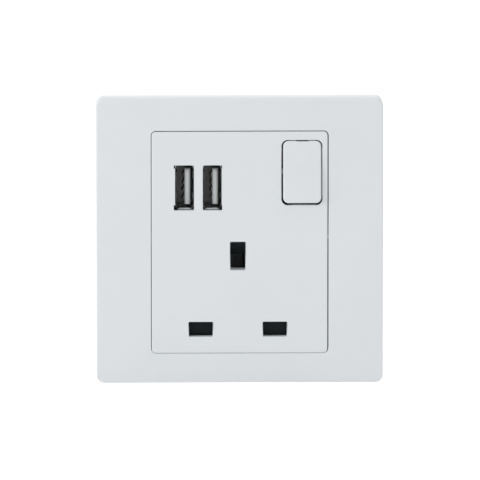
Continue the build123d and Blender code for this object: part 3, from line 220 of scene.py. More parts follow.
class Finish:
    """One material under way: its shader, and the few node recipes that the finishes share."""

    def __init__(self, name, roughness, metallic=0.0, ior=1.5):
        self.material = bpy.data.materials.new(name)
        self.material.use_nodes = True
        self.tree = self.material.node_tree
        self.shader = self.tree.nodes["Principled BSDF"]
        self.shader.inputs["Roughness"].default_value = roughness
        self.shader.inputs["Metallic"].default_value = metallic
        self.shader.inputs["IOR"].default_value = ior
        self.place = self.tree.nodes.new("ShaderNodeTexCoord")
        finishes[name] = self.material

    def link(self, output, target):
        """Wire an output to an input."""
        self.tree.links.new(output, target)

    def stretched(self, stretch=(1, 1, 1), turn=(0, 0, 0)):
        """Object coordinates, scaled and turned, for grain that runs one way."""
        mapping = self.tree.nodes.new("ShaderNodeMapping")
        mapping.inputs["Scale"].default_value = stretch
        mapping.inputs["Rotation"].default_value = turn
        self.link(self.place.outputs["Object"], mapping.inputs["Vector"])
        return mapping.outputs["Vector"]

    def noise(self, feature_mm, detail=2.0, vector=None):
        """Soft noise whose blobs are about that many millimetres across."""
        grain = self.tree.nodes.new("ShaderNodeTexNoise")
        grain.inputs["Scale"].default_value = MM_A_METRE / feature_mm
        grain.inputs["Detail"].default_value = detail
        self.link(vector or self.place.outputs["Object"], grain.inputs["Vector"])
        return grain.outputs["Fac"]

    def ramp(self, factor, stops, target):
        """Colours along a factor, wired to a socket of the shader. stops are (position, colour)."""
        ramp = self.tree.nodes.new("ShaderNodeValToRGB")
        while len(ramp.color_ramp.elements) < len(stops):
            ramp.color_ramp.elements.new(0.5)
        for element, (position, colour) in zip(ramp.color_ramp.elements, stops):
            element.position = position
            element.color = (*colour, 1)
        self.link(factor, ramp.inputs["Fac"])
        self.link(ramp.outputs["Color"], self.shader.inputs[target])
        return ramp.outputs["Color"]

    def spread(self, factor, low, high, target="Roughness"):
        """A number that wanders between low and high with a factor."""
        spread = self.tree.nodes.new("ShaderNodeMapRange")
        spread.inputs["From Min"].default_value = NOISE_LOW
        spread.inputs["From Max"].default_value = NOISE_HIGH
        spread.inputs["To Min"].default_value = low
        spread.inputs["To Max"].default_value = high
        self.link(factor, spread.inputs["Value"])
        self.link(spread.outputs["Result"], self.shader.inputs[target])

    def bump(self, height, depth_mm, below=None):
        """Relief of about that depth. below is another bump to stack it on."""
        bump = self.tree.nodes.new("ShaderNodeBump")
        bump.inputs["Strength"].default_value = 1.0
        bump.inputs["Distance"].default_value = depth_mm * MM
        self.link(height, bump.inputs["Height"])
        if below:
            self.link(below, bump.inputs["Normal"])
        self.link(bump.outputs["Normal"], self.shader.inputs["Normal"])
        return bump.outputs["Normal"]

    def overlay(self, factor, low, high, colour):
        """Blend a colour over the base colour: none of it at the low value of a factor, all at the high."""
        share = self.tree.nodes.new("ShaderNodeMapRange")
        share.inputs["From Min"].default_value = low
        share.inputs["From Max"].default_value = high
        self.link(factor, share.inputs["Value"])
        mix = self.tree.nodes.new("ShaderNodeMixRGB")
        mix.inputs["Color2"].default_value = (*colour, 1)
        self.link(self.shader.inputs["Base Color"].links[0].from_socket, mix.inputs["Color1"])
        self.link(share.outputs["Result"], mix.inputs["Fac"])
        self.link(mix.outputs["Color"], self.shader.inputs["Base Color"])

    def split(self, source):
        """The three numbers of the Object place or of the Normal."""
        parts = self.tree.nodes.new("ShaderNodeSeparateXYZ")
        self.link(self.place.outputs[source], parts.inputs[0])
        return parts.outputs

    def math(self, operation, first, second):
        """One step of arithmetic between a factor and another factor or a plain number."""
        node = self.tree.nodes.new("ShaderNodeMath")
        node.operation = operation
        self.link(first, node.inputs[0])
        if isinstance(second, float):
            node.inputs[1].default_value = second
        else:
            self.link(second, node.inputs[1])
        return node.outputs[0]

    def blob(self, centre, radii):
        """A factor that is 1 at a place and falls to 0 at these distances from it."""
        mapping = self.tree.nodes.new("ShaderNodeMapping")
        mapping.vector_type = "TEXTURE"
        mapping.inputs["Location"].default_value = centre
        mapping.inputs["Scale"].default_value = radii
        self.link(self.place.outputs["Object"], mapping.inputs["Vector"])
        ball = self.tree.nodes.new("ShaderNodeTexGradient")
        ball.gradient_type = "SPHERICAL"
        self.link(mapping.outputs["Vector"], ball.inputs["Vector"])
        return ball.outputs["Fac"]


def tint(colour, factor):
    """The same colour, darker or lighter."""
    return tuple(channel * factor for channel in colour)


print("tools ready")

# %% [markdown]
# ## White mouldings
# The surround, the face and the rocker are moulded in the same satin white. A flat colour would look
# like paper. The real surface has the faint texture of a spark-eroded mould, a few tenths of a
# millimetre wide and a few microns deep, and where the melt met and cooled the gloss and tone drift a
# little over a centimetre or two. Each moulding gets its own drift, as three mouldings from three tools
# do.

# %% White mouldings
MOULDED_WHITE = (0.714, 0.741, 0.76)
SATIN_SHEEN = 0.3
SPARK_MM, SPARK_RELIEF_MM = 0.22, 0.0035
FLOW_MM, FLOW_RELIEF_MM = 14, 0.004


def satin_white(name, colour, roughness, drift_mm):
    """A white moulding whose tone and gloss drift, with the flow of the melt and a spark texture."""
    finish = Finish(name, roughness, ior=1.49)
    finish.shader.inputs["Specular IOR Level"].default_value = SATIN_SHEEN
    drift = finish.noise(drift_mm, detail=1.0)
    finish.ramp(drift, [(0.35, tint(colour, 0.992)), (0.65, tint(colour, 1.006))], "Base Color")
    finish.spread(drift, roughness - 0.03, roughness + 0.03)
    sparks = finish.noise(SPARK_MM, detail=3.0)
    flow = finish.noise(FLOW_MM, detail=1.0)
    wave = finish.bump(flow, FLOW_RELIEF_MM)
    finish.bump(sparks, SPARK_RELIEF_MM, below=wave)
    return finish


plate_finish = satin_white("frame_white", MOULDED_WHITE, roughness=0.46, drift_mm=22)
face_finish = satin_white("face_white", MOULDED_WHITE, roughness=0.46, drift_mm=17)
satin_white("rocker_white", tint(MOULDED_WHITE, 0.995), roughness=0.42, drift_mm=9)
print("white mouldings:", list(finishes))

# %% [markdown]
# ## Fading sides of the plate
# The sides of the plate carry painted light: they grow lighter towards the wall. The upper side starts a
# little darker at the front, as painted shade, and the lower rounding is painted lighter. The Z part of the
# normal tells up from down, and the Y coordinate tells how far back a point is, so three colours laid over
# each other are enough.

# %% Painted light on the sides of the plate
UPPER_SIDE, UPPER_SHADE = (0.3, 0.9), 0.92
LOWER_ROUNDING, LOWER_PAINTED_LIGHT = (-0.1, -0.7), 1.25
FADE_START, FADE_END, WALL_PAINTED_LIGHT = 1.2 * MM, 9 * MM, 1.18
plate_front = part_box("front_frame")[0].y
facing = plate_finish.split("Normal")["Z"]
depth = plate_finish.split("Object")["Y"]
# Painted shade on the upper side, and painted light on the lower rounding and towards the wall.
plate_finish.overlay(facing, *UPPER_SIDE, tint(MOULDED_WHITE, UPPER_SHADE))
plate_finish.overlay(facing, *LOWER_ROUNDING, tint(MOULDED_WHITE, LOWER_PAINTED_LIGHT))
painted_wall_light = tint(MOULDED_WHITE, WALL_PAINTED_LIGHT)
plate_finish.overlay(depth, plate_front + FADE_START, plate_front + FADE_END, painted_wall_light)
print("plate fades from", round(plate_front / MM, 2), "mm")

# %% [markdown]
# ## Painted shade in the openings
# Shade is painted on the face: the corners and the lower wall of the rocker's window, the lower ends of the
# port openings and the upper edges of the slots are darkened with painted shade. It could be painted on an
# image, but then it would not follow a change of size. Here soft blobs say where, and most of them take
# their places from the boxes of the nodes. The Y part of the normal is -1 on the flat front and 0 on a
# wall, so that adding 1 to it keeps the painted shade off the front.

# %% Painted shade in the openings
SIDES = ("left", "right")
SHADE_CORNER = 5.6 * MM
# The slots' upper edges, which get painted shade: x, z and the two radii in millimetres, and the shade.
SLOT_TOPS = [
    (-11.645, -24.575, 5.4, 4.4, 0.05),
    (10.585, -24.575, 5.4, 4.4, 0.05),
    (-0.53, -0.27, 4.5, 8.55, 0.3),
]
face_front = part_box("socket_face")[0].y


def paint_shade(x, z, wide, tall, shade, rim=1.0, full=0.2, deep=4):
    """Paint shade on the face's walls near a place, and with a rim of 1 their edges too. Radii are in mm.
    """
    walls = face_finish.math("ADD", face_finish.split("Normal")["Y"], rim)
    patch = face_finish.blob((x, face_front, z), (wide * MM, deep * MM, tall * MM))
    painted_shade = face_finish.math("MULTIPLY", patch, walls)
    face_finish.overlay(painted_shade, 0, full, tint(MOULDED_WHITE, shade))


low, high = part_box("rocker")
middle = (low.x + high.x) / 2
left, right = middle - SHADE_CORNER, middle + SHADE_CORNER
# Painted shade in the corners and on the lower wall of the rocker's window.
paint_shade(middle, low.z, 7.6, 2.6, 0.34, rim=0.4, full=0.08)
paint_shade(left, (low.z + high.z) / 2, 1.5, 10, 0.4, full=0.1, deep=0.7)
paint_shade(left, low.z, 2.9, 2.9, 0.08)
paint_shade(right, low.z, 1.9, 2.9, 0.04)
paint_shade(left, high.z, 2.2, 2.2, 0.32)
paint_shade(right, high.z, 1.9, 2.6, 0.04)
shaded_mouth_corners = []
for side in SIDES:
    low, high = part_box(f"usb_shell_{side}")
    outer, inner = (low.x, high.x) if side == "left" else (high.x, low.x)
    # Painted shade at the lower end and the corners of each port opening.
    paint_shade((low.x + high.x) / 2, low.z, 4.2, 1.5, 0.55)
    paint_shade(outer, low.z, 1.1, 1.1, 0.1)
    paint_shade(outer, high.z, 1.1, 1.1, 0.25)
    shaded_mouth_corners += [((outer, low.y, low.z), 0.1), ((inner, low.y, low.z), 0.17)]
# Painted shade on the slots' upper edges.
for x, z, wide, tall, shade in SLOT_TOPS:
    paint_shade(x * MM, z * MM, wide, tall, shade, full=0.1, deep=0.5)
print("dust at", len(SLOT_TOPS), "slots and", len(shaded_mouth_corners), "corners of the ports")

# %% [markdown]
# ## Dark and natural mouldings
# Behind the face everything is moulded in insulating plastics. The housing and the contact cover are
# black with a coarser tool texture and the grey bloom of a glass-filled grade, the shutter is a dead
# matt black, and the tongues of the ports and the switch plunger are off-white. One recipe with
# different grain sizes covers them: dark speckle, uneven gloss and a small relief. A lower specular
# level dulls the shutter.

# %% Dark and natural mouldings
CLOUD_SIZE = 14


def moulding(name, colour, roughness, grain_mm, relief_mm, bloom=1.25, sheen=0.5):
    """An insulating plastic with speckle, uneven gloss and grain. bloom is how far its tone wanders."""
    finish = Finish(name, roughness)
    finish.shader.inputs["Specular IOR Level"].default_value = sheen
    cloud = finish.noise(grain_mm * CLOUD_SIZE, detail=3.0)
    tones = [(NOISE_LOW, tint(colour, 1 / bloom)), (NOISE_HIGH, tint(colour, bloom))]
    finish.ramp(cloud, tones, "Base Color")
    finish.spread(cloud, roughness - 0.07, roughness + 0.07)
    finish.bump(finish.noise(grain_mm, detail=2.0), relief_mm)
    return finish


# Name, colour, roughness, and grain and relief in millimetres.
moulding("housing_plastic", (0.022, 0.022, 0.023), 0.52, 0.35, 0.012)
moulding("cover_plastic", (0.025, 0.025, 0.026), 0.5, 0.3, 0.01)
shutter = moulding("shutter_plastic", (0.0073, 0.0105, 0.012), 0.6, 0.2, 0.004, sheen=0.15)
moulding("chip_plastic", (0.015, 0.015, 0.016), 0.6, 0.12, 0.006)
tongue = moulding("tongue_plastic", (0.635, 0.655, 0.662), 0.5, 0.25, 0.004, bloom=1.03)
moulding("plunger_plastic", (0.6, 0.59, 0.55), 0.38, 0.3, 0.003, bloom=1.04)
print("mouldings:", [name for name in finishes if name.endswith("plastic")])

# %% [markdown]
# ## Wear of the shutter and painted shade on the tongues
# Pins rub the sloping ramp of the shutter grey, and the product of two parts of the normal finds that
# slope. The tongues get painted shade: they grow darker towards the ports' deep end, which the Y coordinate
# tells, and on their edges and upper ends. Ping-pong folds the X coordinate at half the distance between
# the tongues, so one ramp serves both.

# %% Wear of the shutter and painted shade on the tongues
RAMP_SLOPE, RUBBED_GREY = (0.2, 0.45), (0.056, 0.066, 0.073)
RIDGE_SHIFT = 0.8 * MM
RIDGE_EDGE = (0.2 * MM, 0.9 * MM)
TONGUE_TOP, TOP_FADE = 21.67 * MM, 1 * MM
DEPTH_FADE, DEEP_SHADE = (-5 * MM, 2.4 * MM), (0.33, 0.335, 0.335)
EDGE_SHADE = (0.25, 0.256, 0.258)

normal = shutter.split("Normal")
slope = shutter.math("MULTIPLY", normal["Y"], normal["Z"])
shutter.overlay(slope, *RAMP_SLOPE, RUBBED_GREY)
bases = [sum(corner.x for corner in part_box(f"usb_tongue_{side}")) / 2 for side in SIDES]
from_left = tongue.math("SUBTRACT", tongue.split("Object")["X"], bases[0] + RIDGE_SHIFT)
from_ridge = tongue.math("PINGPONG", from_left, (bases[1] - bases[0]) / 2)
# Painted shade on the tongues' edges and upper ends, and towards the ports' deep end.
tongue.overlay(from_ridge, *RIDGE_EDGE, EDGE_SHADE)
tongue.overlay(tongue.split("Object")["Z"], TONGUE_TOP - TOP_FADE, TONGUE_TOP, EDGE_SHADE)
tongue.overlay(tongue.split("Object")["Y"], *DEPTH_FADE, DEEP_SHADE)
print("tongue ridges at", [round((base + RIDGE_SHIFT) / MM, 2) for base in bases], "mm")

# %% [markdown]
# ## Plated steel
# The port shells, the screws and the springs are steel with zinc or nickel on it. Plate is never quite
# even: it carries the rolling lines of the strip below, cloudy patches of gloss, and a hint of blue or
# straw from the passivation. The clouds come from one noise and go into the colour. The lines come from
# another, which is stretched a lot along one axis, and go into the roughness and the relief. Dark blobs of
# painted shade lie over the lower corners of the port shells' mouths.

# %% Plated steel
CLOUD_MM = 6
PLATE_STRETCH = 0.04
CORNER_SHADE_BLOB, CORNER_SHADE_FULL = (1.4 * MM, 3 * MM, 1.4 * MM), 0.3


def plated(name, colour, cloud_colour, roughness, along, line_mm, relief_mm):
    """Plated steel with clouds of a second colour, and fine lines along one axis."""
    finish = Finish(name, roughness, metallic=1.0)
    clouds = finish.noise(CLOUD_MM, detail=3.0)
    finish.ramp(clouds, [(NOISE_LOW, colour), (NOISE_HIGH, cloud_colour)], "Base Color")
    stretch = tuple(PLATE_STRETCH if axis == along else 1.0 for axis in "xyz")
    lines = finish.noise(line_mm, detail=4.0, vector=finish.stretched(stretch))
    finish.spread(lines, roughness - 0.08, roughness + 0.1)
    finish.bump(lines, relief_mm)
    return finish


# Name, two colours, roughness, the lines' axis, and their width and relief in millimetres.
shells = plated("shell_steel", (0.36, 0.384, 0.382), (0.43, 0.458, 0.452), 0.32, "y", 0.1, 0.0015)
# Painted shade over the lower corners of the port shells' mouths.
for corner, shade_grey in shaded_mouth_corners:
    shells.overlay(shells.blob(corner, CORNER_SHADE_BLOB), 0, CORNER_SHADE_FULL, (shade_grey, shade_grey, shade_grey))
plated("screw_steel", (0.45, 0.455, 0.46), (0.54, 0.52, 0.47), 0.36, "y", 0.15, 0.002)
plated("spring_steel", (0.55, 0.55, 0.545), (0.6, 0.595, 0.58), 0.28, "z", 0.06, 0.001)
print("plated:", [name for name in finishes if name.endswith("steel")])

# %% [markdown]
# ## Galvanised sheet
# The yoke is punched from galvanised sheet instead, where the zinc froze in flat crystals a few
# millimetres wide. A Voronoi texture gives every crystal its own grey and its own gloss, and the noise
# that bends its coordinates frays their borders.

# %% Galvanised sheet
CRYSTAL_MM = 4.5
FRAY_MM, FRAY_REACH = 1.2, 0.9 * MM
ZINC = [(0.1, (0.41, 0.42, 0.43)), (0.5, (0.455, 0.463, 0.47)), (0.9, (0.5, 0.504, 0.502))]
yoke = Finish("yoke_steel", 0.38, metallic=1.0)
fray = yoke.tree.nodes.new("ShaderNodeTexNoise")
fray.inputs["Scale"].default_value = MM_A_METRE / FRAY_MM
fray.inputs["Detail"].default_value = 3.0
yoke.link(yoke.place.outputs["Object"], fray.inputs["Vector"])
bend = yoke.tree.nodes.new("ShaderNodeVectorMath")
bend.operation = "MULTIPLY_ADD"
bend.inputs[1].default_value = (FRAY_REACH, FRAY_REACH, FRAY_REACH)
yoke.link(fray.outputs["Color"], bend.inputs[0])
yoke.link(yoke.place.outputs["Object"], bend.inputs[2])
crystals = yoke.tree.nodes.new("ShaderNodeTexVoronoi")
crystals.inputs["Scale"].default_value = MM_A_METRE / CRYSTAL_MM
yoke.link(bend.outputs[0], crystals.inputs["Vector"])
draws = yoke.tree.nodes.new("ShaderNodeSeparateColor")
yoke.link(crystals.outputs["Color"], draws.inputs[0])
yoke.ramp(draws.outputs["Red"], ZINC, "Base Color")
yoke.spread(draws.outputs["Green"], 0.33, 0.44)
yoke.bump(yoke.noise(0.25, detail=2.0), 0.002)
print("crystals of", CRYSTAL_MM, "mm on", yoke.material.name)

# %% [markdown]
# ## Brass and contact metals
# The clips and the switch lever are punched from rolled brass strip, the terminal blocks are cut from
# drawn bar, the switch tips are silver rivets, the port contacts are bright plated and the earth clip
# is dull tin. One recipe serves them all: patches of tarnish in a duller colour, and lines along the
# way the metal was rolled or drawn. The bar gets finer lines than the strip, and the rivets coarser
# ones from the press.

# %% Brass and contact metals
TARNISH_MM = 3.5
STRIP_STRETCH = 0.05
STRIP_RELIEF_MM = 0.0015


def rolled(name, bright, dull, roughness, along, line_mm):
    """Strip or bar that has tarnished in patches, with lines along one axis."""
    finish = Finish(name, roughness, metallic=1.0)
    tarnish = finish.noise(TARNISH_MM, detail=5.0)
    finish.ramp(tarnish, [(0.32, dull), (0.6, bright)], "Base Color")
    stretch = tuple(STRIP_STRETCH if axis == along else 1.0 for axis in "xyz")
    lines = finish.noise(line_mm, detail=3.0, vector=finish.stretched(stretch))
    finish.spread(lines, roughness - 0.07, roughness + 0.12)
    finish.bump(lines, STRIP_RELIEF_MM)


# Name, bright and dull colour, roughness, the lines' axis, and their width in millimetres.
rolled("brass", (0.68, 0.48, 0.2), (0.55, 0.36, 0.14), 0.32, "z", 0.1)
rolled("terminal_brass", (0.66, 0.47, 0.21), (0.56, 0.38, 0.16), 0.26, "z", 0.06)
rolled("contact_plate", (0.62, 0.6, 0.57), (0.54, 0.52, 0.49), 0.25, "y", 0.08)
rolled("earth_strip", (0.21, 0.225, 0.24), (0.17, 0.182, 0.195), 0.45, "z", 0.1)
rolled("contact_silver", (0.84, 0.83, 0.8), (0.72, 0.7, 0.66), 0.3, "x", 0.2)
print("strip and rivets:", list(finishes)[-5:])

# %% [markdown]
# ## Circuit board
# The charger's board is glass cloth under a coloured mask. Copper left under the mask shows as paler
# areas with straight edges, which a Brick texture gives at once, and the tinned holes are the round
# middles of the cells of a Voronoi texture. Both textures lie in the XY plane, so the coordinates are
# turned upright.

# %% Circuit board
COPPER_MM, HOLE_MM = 4.0, 4.2
HOLE_EDGE, TINNED = (0.15, 0.125), (0.56, 0.56, 0.53)
board = Finish("board_green", 0.32)
upright = board.stretched(turn=(math.radians(-90), 0, 0))
copper = board.tree.nodes.new("ShaderNodeTexBrick")
copper.inputs["Scale"].default_value = MM_A_METRE / COPPER_MM
copper.inputs["Mortar Size"].default_value = 0.045
copper.inputs["Color1"].default_value = (0.03, 0.17, 0.06, 1)
copper.inputs["Color2"].default_value = (0.018, 0.115, 0.04, 1)
copper.inputs["Mortar"].default_value = (0.01, 0.075, 0.025, 1)
board.link(upright, copper.inputs["Vector"])
board.link(copper.outputs["Color"], board.shader.inputs["Base Color"])
board.bump(copper.outputs["Fac"], -0.02)
holes = board.tree.nodes.new("ShaderNodeTexVoronoi")
holes.voronoi_dimensions = "2D"
holes.inputs["Scale"].default_value = MM_A_METRE / HOLE_MM
holes.inputs["Randomness"].default_value = 0.75
board.link(upright, holes.inputs["Vector"])
board.overlay(holes.outputs["Distance"], *HOLE_EDGE, TINNED)
weave = board.noise(0.6, detail=2.0)
board.spread(weave, 0.26, 0.38)
print("board finished:", board.material.name)

# %% [markdown]
# ## Transformer, capacitors and leads
# The ferrite core is a dull sintered black, the winding is wrapped in yellow tape whose overlaps show
# as bands, and each capacitor is an aluminium can in a plain dark sleeve: the surface normal tells the
# flat end, which stays bare, from the round side. The leads are plain insulated wire.

# %% Transformer, capacitors and leads
WRAP_MM = 24
BARE_END = 0.7
ferrite = Finish("ferrite", 0.62)
specks = ferrite.noise(0.3, detail=4.0)
ferrite.ramp(specks, [(0.35, (0.022, 0.022, 0.024)), (0.7, (0.045, 0.044, 0.044))], "Base Color")
ferrite.bump(specks, 0.012)

tape = Finish("winding_tape", 0.3)
wraps = tape.tree.nodes.new("ShaderNodeTexWave")
wraps.inputs["Scale"].default_value = MM_A_METRE / WRAP_MM
wraps.inputs["Distortion"].default_value = 0.6
tape.link(tape.place.outputs["Object"], wraps.inputs["Vector"])
tape.ramp(wraps.outputs["Fac"], [(0.2, (0.62, 0.38, 0.02)), (0.7, (0.8, 0.55, 0.05))], "Base Color")
tape.bump(wraps.outputs["Fac"], 0.03)

can = Finish("can_aluminium", 0.34)
ends = can.math("ABSOLUTE", can.split("Normal")["Y"], 0.0)
can.ramp(ends, [(0.6, (0.012, 0.016, 0.03)), (0.75, (0.66, 0.66, 0.67))], "Base Color")
can.link(can.math("GREATER_THAN", ends, BARE_END), can.shader.inputs["Metallic"])
can.bump(can.noise(0.5, detail=3.0), 0.006)


def sleeve(name, colour):
    """Extruded insulation: a soft gloss with faint lines from the die."""
    finish = Finish(name, 0.36)
    cloud = finish.noise(2.5, detail=2.0)
    finish.ramp(cloud, [(NOISE_LOW, tint(colour, 0.85)), (NOISE_HIGH, tint(colour, 1.15))], "Base Color")
    finish.spread(cloud, 0.32, 0.42)
    finish.bump(finish.noise(0.3, detail=2.0), 0.004)


sleeve("lead_live", (0.18, 0.05, 0.02))
sleeve("lead_neutral", (0.02, 0.07, 0.35))
print(len(finishes), "finishes")

# %% [markdown]
# ## Dress the CAD nodes
# Each node came in with a plain material named after its slot in the record. Where the solid's shape is
# already right, it only needs the better finish of the same name in its material slot. The meshes of
# the nodes are not touched.

# %% Dress the CAD nodes
for node in nodes.values():
    for place in node.material_slots:
        place.material = finishes[place.material.name.split(".")[0]]
print("dressed", len(nodes), "nodes")

# %% [markdown]
# ## Tools for pieces
# A few small fittings are modelled here in place of their plain CAD solids. Each is built as a bmesh in
# real coordinates, so the finished object can stay at the origin. It rides on a body of the frame and hides
# the nodes it stands for. Its faces are shaded smooth, and edges sharper than 32 degrees stay crisp.

# %% Tools for pieces
SMOOTH_ANGLE = math.radians(32)
SCORE_NEAR = 1e-7
NEAR = 1e-6


def new_piece(name, mesh, material, body, slot, *stands_for):
    """Turn a bmesh into an object at the origin that rides on a body and stands for CAD nodes."""
    data = bpy.data.meshes.new(name)
    mesh.to_mesh(data)
    mesh.free()
    data.materials.append(finishes[material])
    data.polygons.foreach_set("use_smooth", [True] * len(data.polygons))
    data.set_sharp_from_angle(angle=SMOOTH_ANGLE)
    piece = bpy.data.objects.new(name, data)
    bpy.context.scene.collection.objects.link(piece)
    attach(piece, body)
    if stands_for:
        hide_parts(*stands_for)
    return piece


def cut_across(mesh, axis, places):
    """Score a mesh along planes square to an axis, without removing anything."""
    normal = Vector([1.0 if name == axis else 0.0 for name in "xyz"])
    for place in places:
        everything = mesh.verts[:] + mesh.edges[:] + mesh.faces[:]
        bmesh.ops.bisect_plane(mesh, geom=everything, dist=SCORE_NEAR, plane_co=normal * place,
                               plane_no=normal)


def cuboid(size, middle):
    """A new mesh with one box in it."""
    mesh = bmesh.new()
    bmesh.ops.create_cube(mesh, size=1.0)
    bmesh.ops.scale(mesh, vec=size, verts=mesh.verts)
    bmesh.ops.translate(mesh, vec=middle, verts=mesh.verts)
    return mesh


def bevel(mesh, edges, offset, segments):
    """Round edges, or chamfer them when there is one segment."""
    bmesh.ops.bevel(mesh, geom=edges, offset=offset, offset_type="OFFSET", segments=segments, profile=0.5,
                    affect="EDGES", material=-1)


print("tools for pieces ready")

# %% [markdown]
# ## Port shells
# A charging port's shell is folded from 0.3 mm plated sheet: a flat tube with round corners, four
# flared lips at the mouth to guide the plug, notched apart at the corners so that they can be bent, and
# two springs in each broad side, cut free on three sides and bowed inwards to grip. The CAD solid is a
# plain tube. Here a cube loses its two ends and gets its long edges rounded. Planes then cut the
# outlines of the springs and notches into the sheet, and what lies between is deleted. No Boolean is
# needed, and the faces stay clean.

# %% Port shells
SHEET = 0.3 * MM
SHELL_CORNER = 0.7 * MM
CORNER_SEGMENTS = 6
FACING = 0.9
SPRING_PLACES = (-3.1 * MM, 3.1 * MM)
SPRING_HALF = 1.1 * MM
SPRING_SLOT = 0.35 * MM
SPRING_START = 1.9 * MM
SPRING_LENGTH = 6.2 * MM
SPRING_STEPS = 8
LIP_LENGTH = 0.7 * MM
LIP_MARGIN = 1.3 * MM
NARROW_MARGIN = 0.75 * MM


def folded_tube(low, high):
    """A flat tube of sheet, open at both ends along Y, with round long edges."""
    tube = cuboid(high - low, (low + high) / 2)
    ends = [face for face in tube.faces if abs(face.normal.y) > FACING]
    bmesh.ops.delete(tube, geom=ends, context="FACES_ONLY")
    along = [edge for edge in tube.edges if abs(edge.verts[0].co.y - edge.verts[1].co.y) > NEAR]
    bevel(tube, along, SHELL_CORNER, CORNER_SEGMENTS)
    return tube


def beside_spring(point, middle):
    """How far a point of a broad side is from the nearest spring's middle line."""
    return min(abs(point.z - middle.z - place) for place in SPRING_PLACES)


def punched_tube(low, high):
    """The tube with the slots round its springs and the notches at the corners of its mouth."""
    middle = (low + high) / 2
    half = (high - low) / 2
    tube = folded_tube(low, high)
    lip_root = low.y + LIP_LENGTH
    slot_start = low.y + SPRING_START
    tip = slot_start + SPRING_SLOT
    root = tip + SPRING_LENGTH
    steps = [tip + SPRING_LENGTH * step / SPRING_STEPS for step in range(SPRING_STEPS + 1)]
    cut_across(tube, "y", [low.y + LIP_LENGTH / 2, lip_root, slot_start, *steps])
    outline = [SPRING_HALF, SPRING_HALF + SPRING_SLOT]
    cut_across(tube, "z", [middle.z + place + way * reach for place in SPRING_PLACES for way in (-1, 1)
                           for reach in outline])
    cut_across(tube, "z", [middle.z - half.z + LIP_MARGIN, middle.z + half.z - LIP_MARGIN])
    cut_across(tube, "x", [middle.x - half.x + NARROW_MARGIN, middle.x + half.x - NARROW_MARGIN])
    freed = []
    for face in tube.faces:
        centre = face.calc_center_median()
        away = beside_spring(centre, middle)
        inside = away < outline[1] and slot_start < centre.y < root
        spring = away < SPRING_HALF and centre.y > tip
        offset = centre - middle
        corner = abs(offset.x) > half.x - NARROW_MARGIN and abs(offset.z) > half.z - LIP_MARGIN
        notch = corner and centre.y < lip_root
        if notch or abs(face.normal.x) > FACING and inside and not spring:
            freed.append(face)
    bmesh.ops.delete(tube, geom=freed, context="FACES")
    return tube


print("sheet of", round(SHEET / MM, 2), "mm with", len(SPRING_PLACES), "springs on each broad side")

# %% [markdown]
# ## Lips and springs of the port shells
# The springs bow inwards along a part of a sine, so that their tips lift off the plug again, and the
# lips lean outwards. The lower lip is bent in two steps, far enough for its rim to catch the light from
# above. While the sheet is a single layer, moving its vertices is all that a bend takes. Solidify then
# gives the sheet its thickness.

# %% Lips and springs of the port shells
SPRING_BOW = 0.35 * MM
BOW_SHARE = 0.88
LIP_FLARE = 0.34 * MM
LOWER_FLARE = 0.48 * MM
LOWER_BACK = 0.15 * MM
LOWER_BEND = 0.21 * MM


def port_shell(side):
    """One port's shell: the punched tube with its springs bowed inwards and its lips bent outwards."""
    low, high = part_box(f"usb_shell_{side}")
    middle = (low + high) / 2
    half = (high - low) / 2
    tube = punched_tube(low, high)
    mouth = low.y
    bend = mouth + LIP_LENGTH / 2
    tip = mouth + SPRING_START + SPRING_SLOT
    root = tip + SPRING_LENGTH
    for vert in tube.verts:
        offset = vert.co - middle
        broad = abs(offset.x) > half.x - NEAR
        narrow = abs(offset.z) > half.z - NEAR
        on_spring = beside_spring(vert.co, middle) < SPRING_HALF + NEAR
        if broad and on_spring and tip - NEAR < vert.co.y < root - NEAR:
            reach = (root - vert.co.y) / SPRING_LENGTH
            vert.co.x -= math.copysign(SPRING_BOW * math.sin(math.pi * BOW_SHARE * reach), offset.x)
        if broad and abs(offset.z) < half.z - LIP_MARGIN + NEAR and vert.co.y < bend + NEAR:
            flare = LIP_FLARE if vert.co.y < mouth + NEAR else LIP_FLARE / 2
            vert.co.x += math.copysign(flare, offset.x)
        if narrow and abs(offset.x) < half.x - NARROW_MARGIN + NEAR:
            if vert.co.y < mouth + NEAR:
                vert.co += Vector((0, 0, LIP_FLARE) if offset.z > 0 else (0, LOWER_BACK, -LOWER_FLARE))
            elif vert.co.y < bend + NEAR:
                vert.co.z += LIP_FLARE / 2 if offset.z > 0 else -LOWER_BEND
    bmesh.ops.recalc_face_normals(tube, faces=tube.faces)
    bmesh.ops.solidify(tube, geom=tube.faces[:], thickness=SHEET)
    name = f"port_shell_{side}"
    return new_piece(name, tube, "shell_steel", "base", "shell_steel", f"usb_shell_{side}")


for side in SIDES:
    shell = port_shell(side)
    print(shell.name, len(shell.data.polygons), "faces")

# %% [markdown]
# ## Screws
# Three clamping screws hold the wires and four longer ones hold the housing to the face. In CAD they
# are plain turned shapes. A real screw has a dressed head with a sawn slot, a rolled thread, and no two
# slots point the same way. The head and core are one half outline, spun round the axis. Planes score
# the slot across the head, its faces are deleted, and the open walls are filled again.

# %% Screws
AXIS = (0, 1, 0)
SLOT_WIDTH = 0.9 * MM
SLOT_DEPTH = 0.9 * MM


def spun(outline, steps):
    """Spin a half outline of (radius, place along Y) round the Y axis into a closed shape."""
    mesh = bmesh.new()
    verts = [mesh.verts.new((radius, along, 0)) for radius, along in outline]
    edges = [mesh.edges.new(pair) for pair in zip(verts, verts[1:])]
    bmesh.ops.spin(mesh, geom=verts + edges, cent=(0, 0, 0), axis=AXIS, angle=math.tau, steps=steps,
                   use_merge=True, use_duplicate=False)
    bmesh.ops.remove_doubles(mesh, verts=mesh.verts, dist=NEAR)
    bmesh.ops.recalc_face_normals(mesh, faces=mesh.faces)
    return mesh


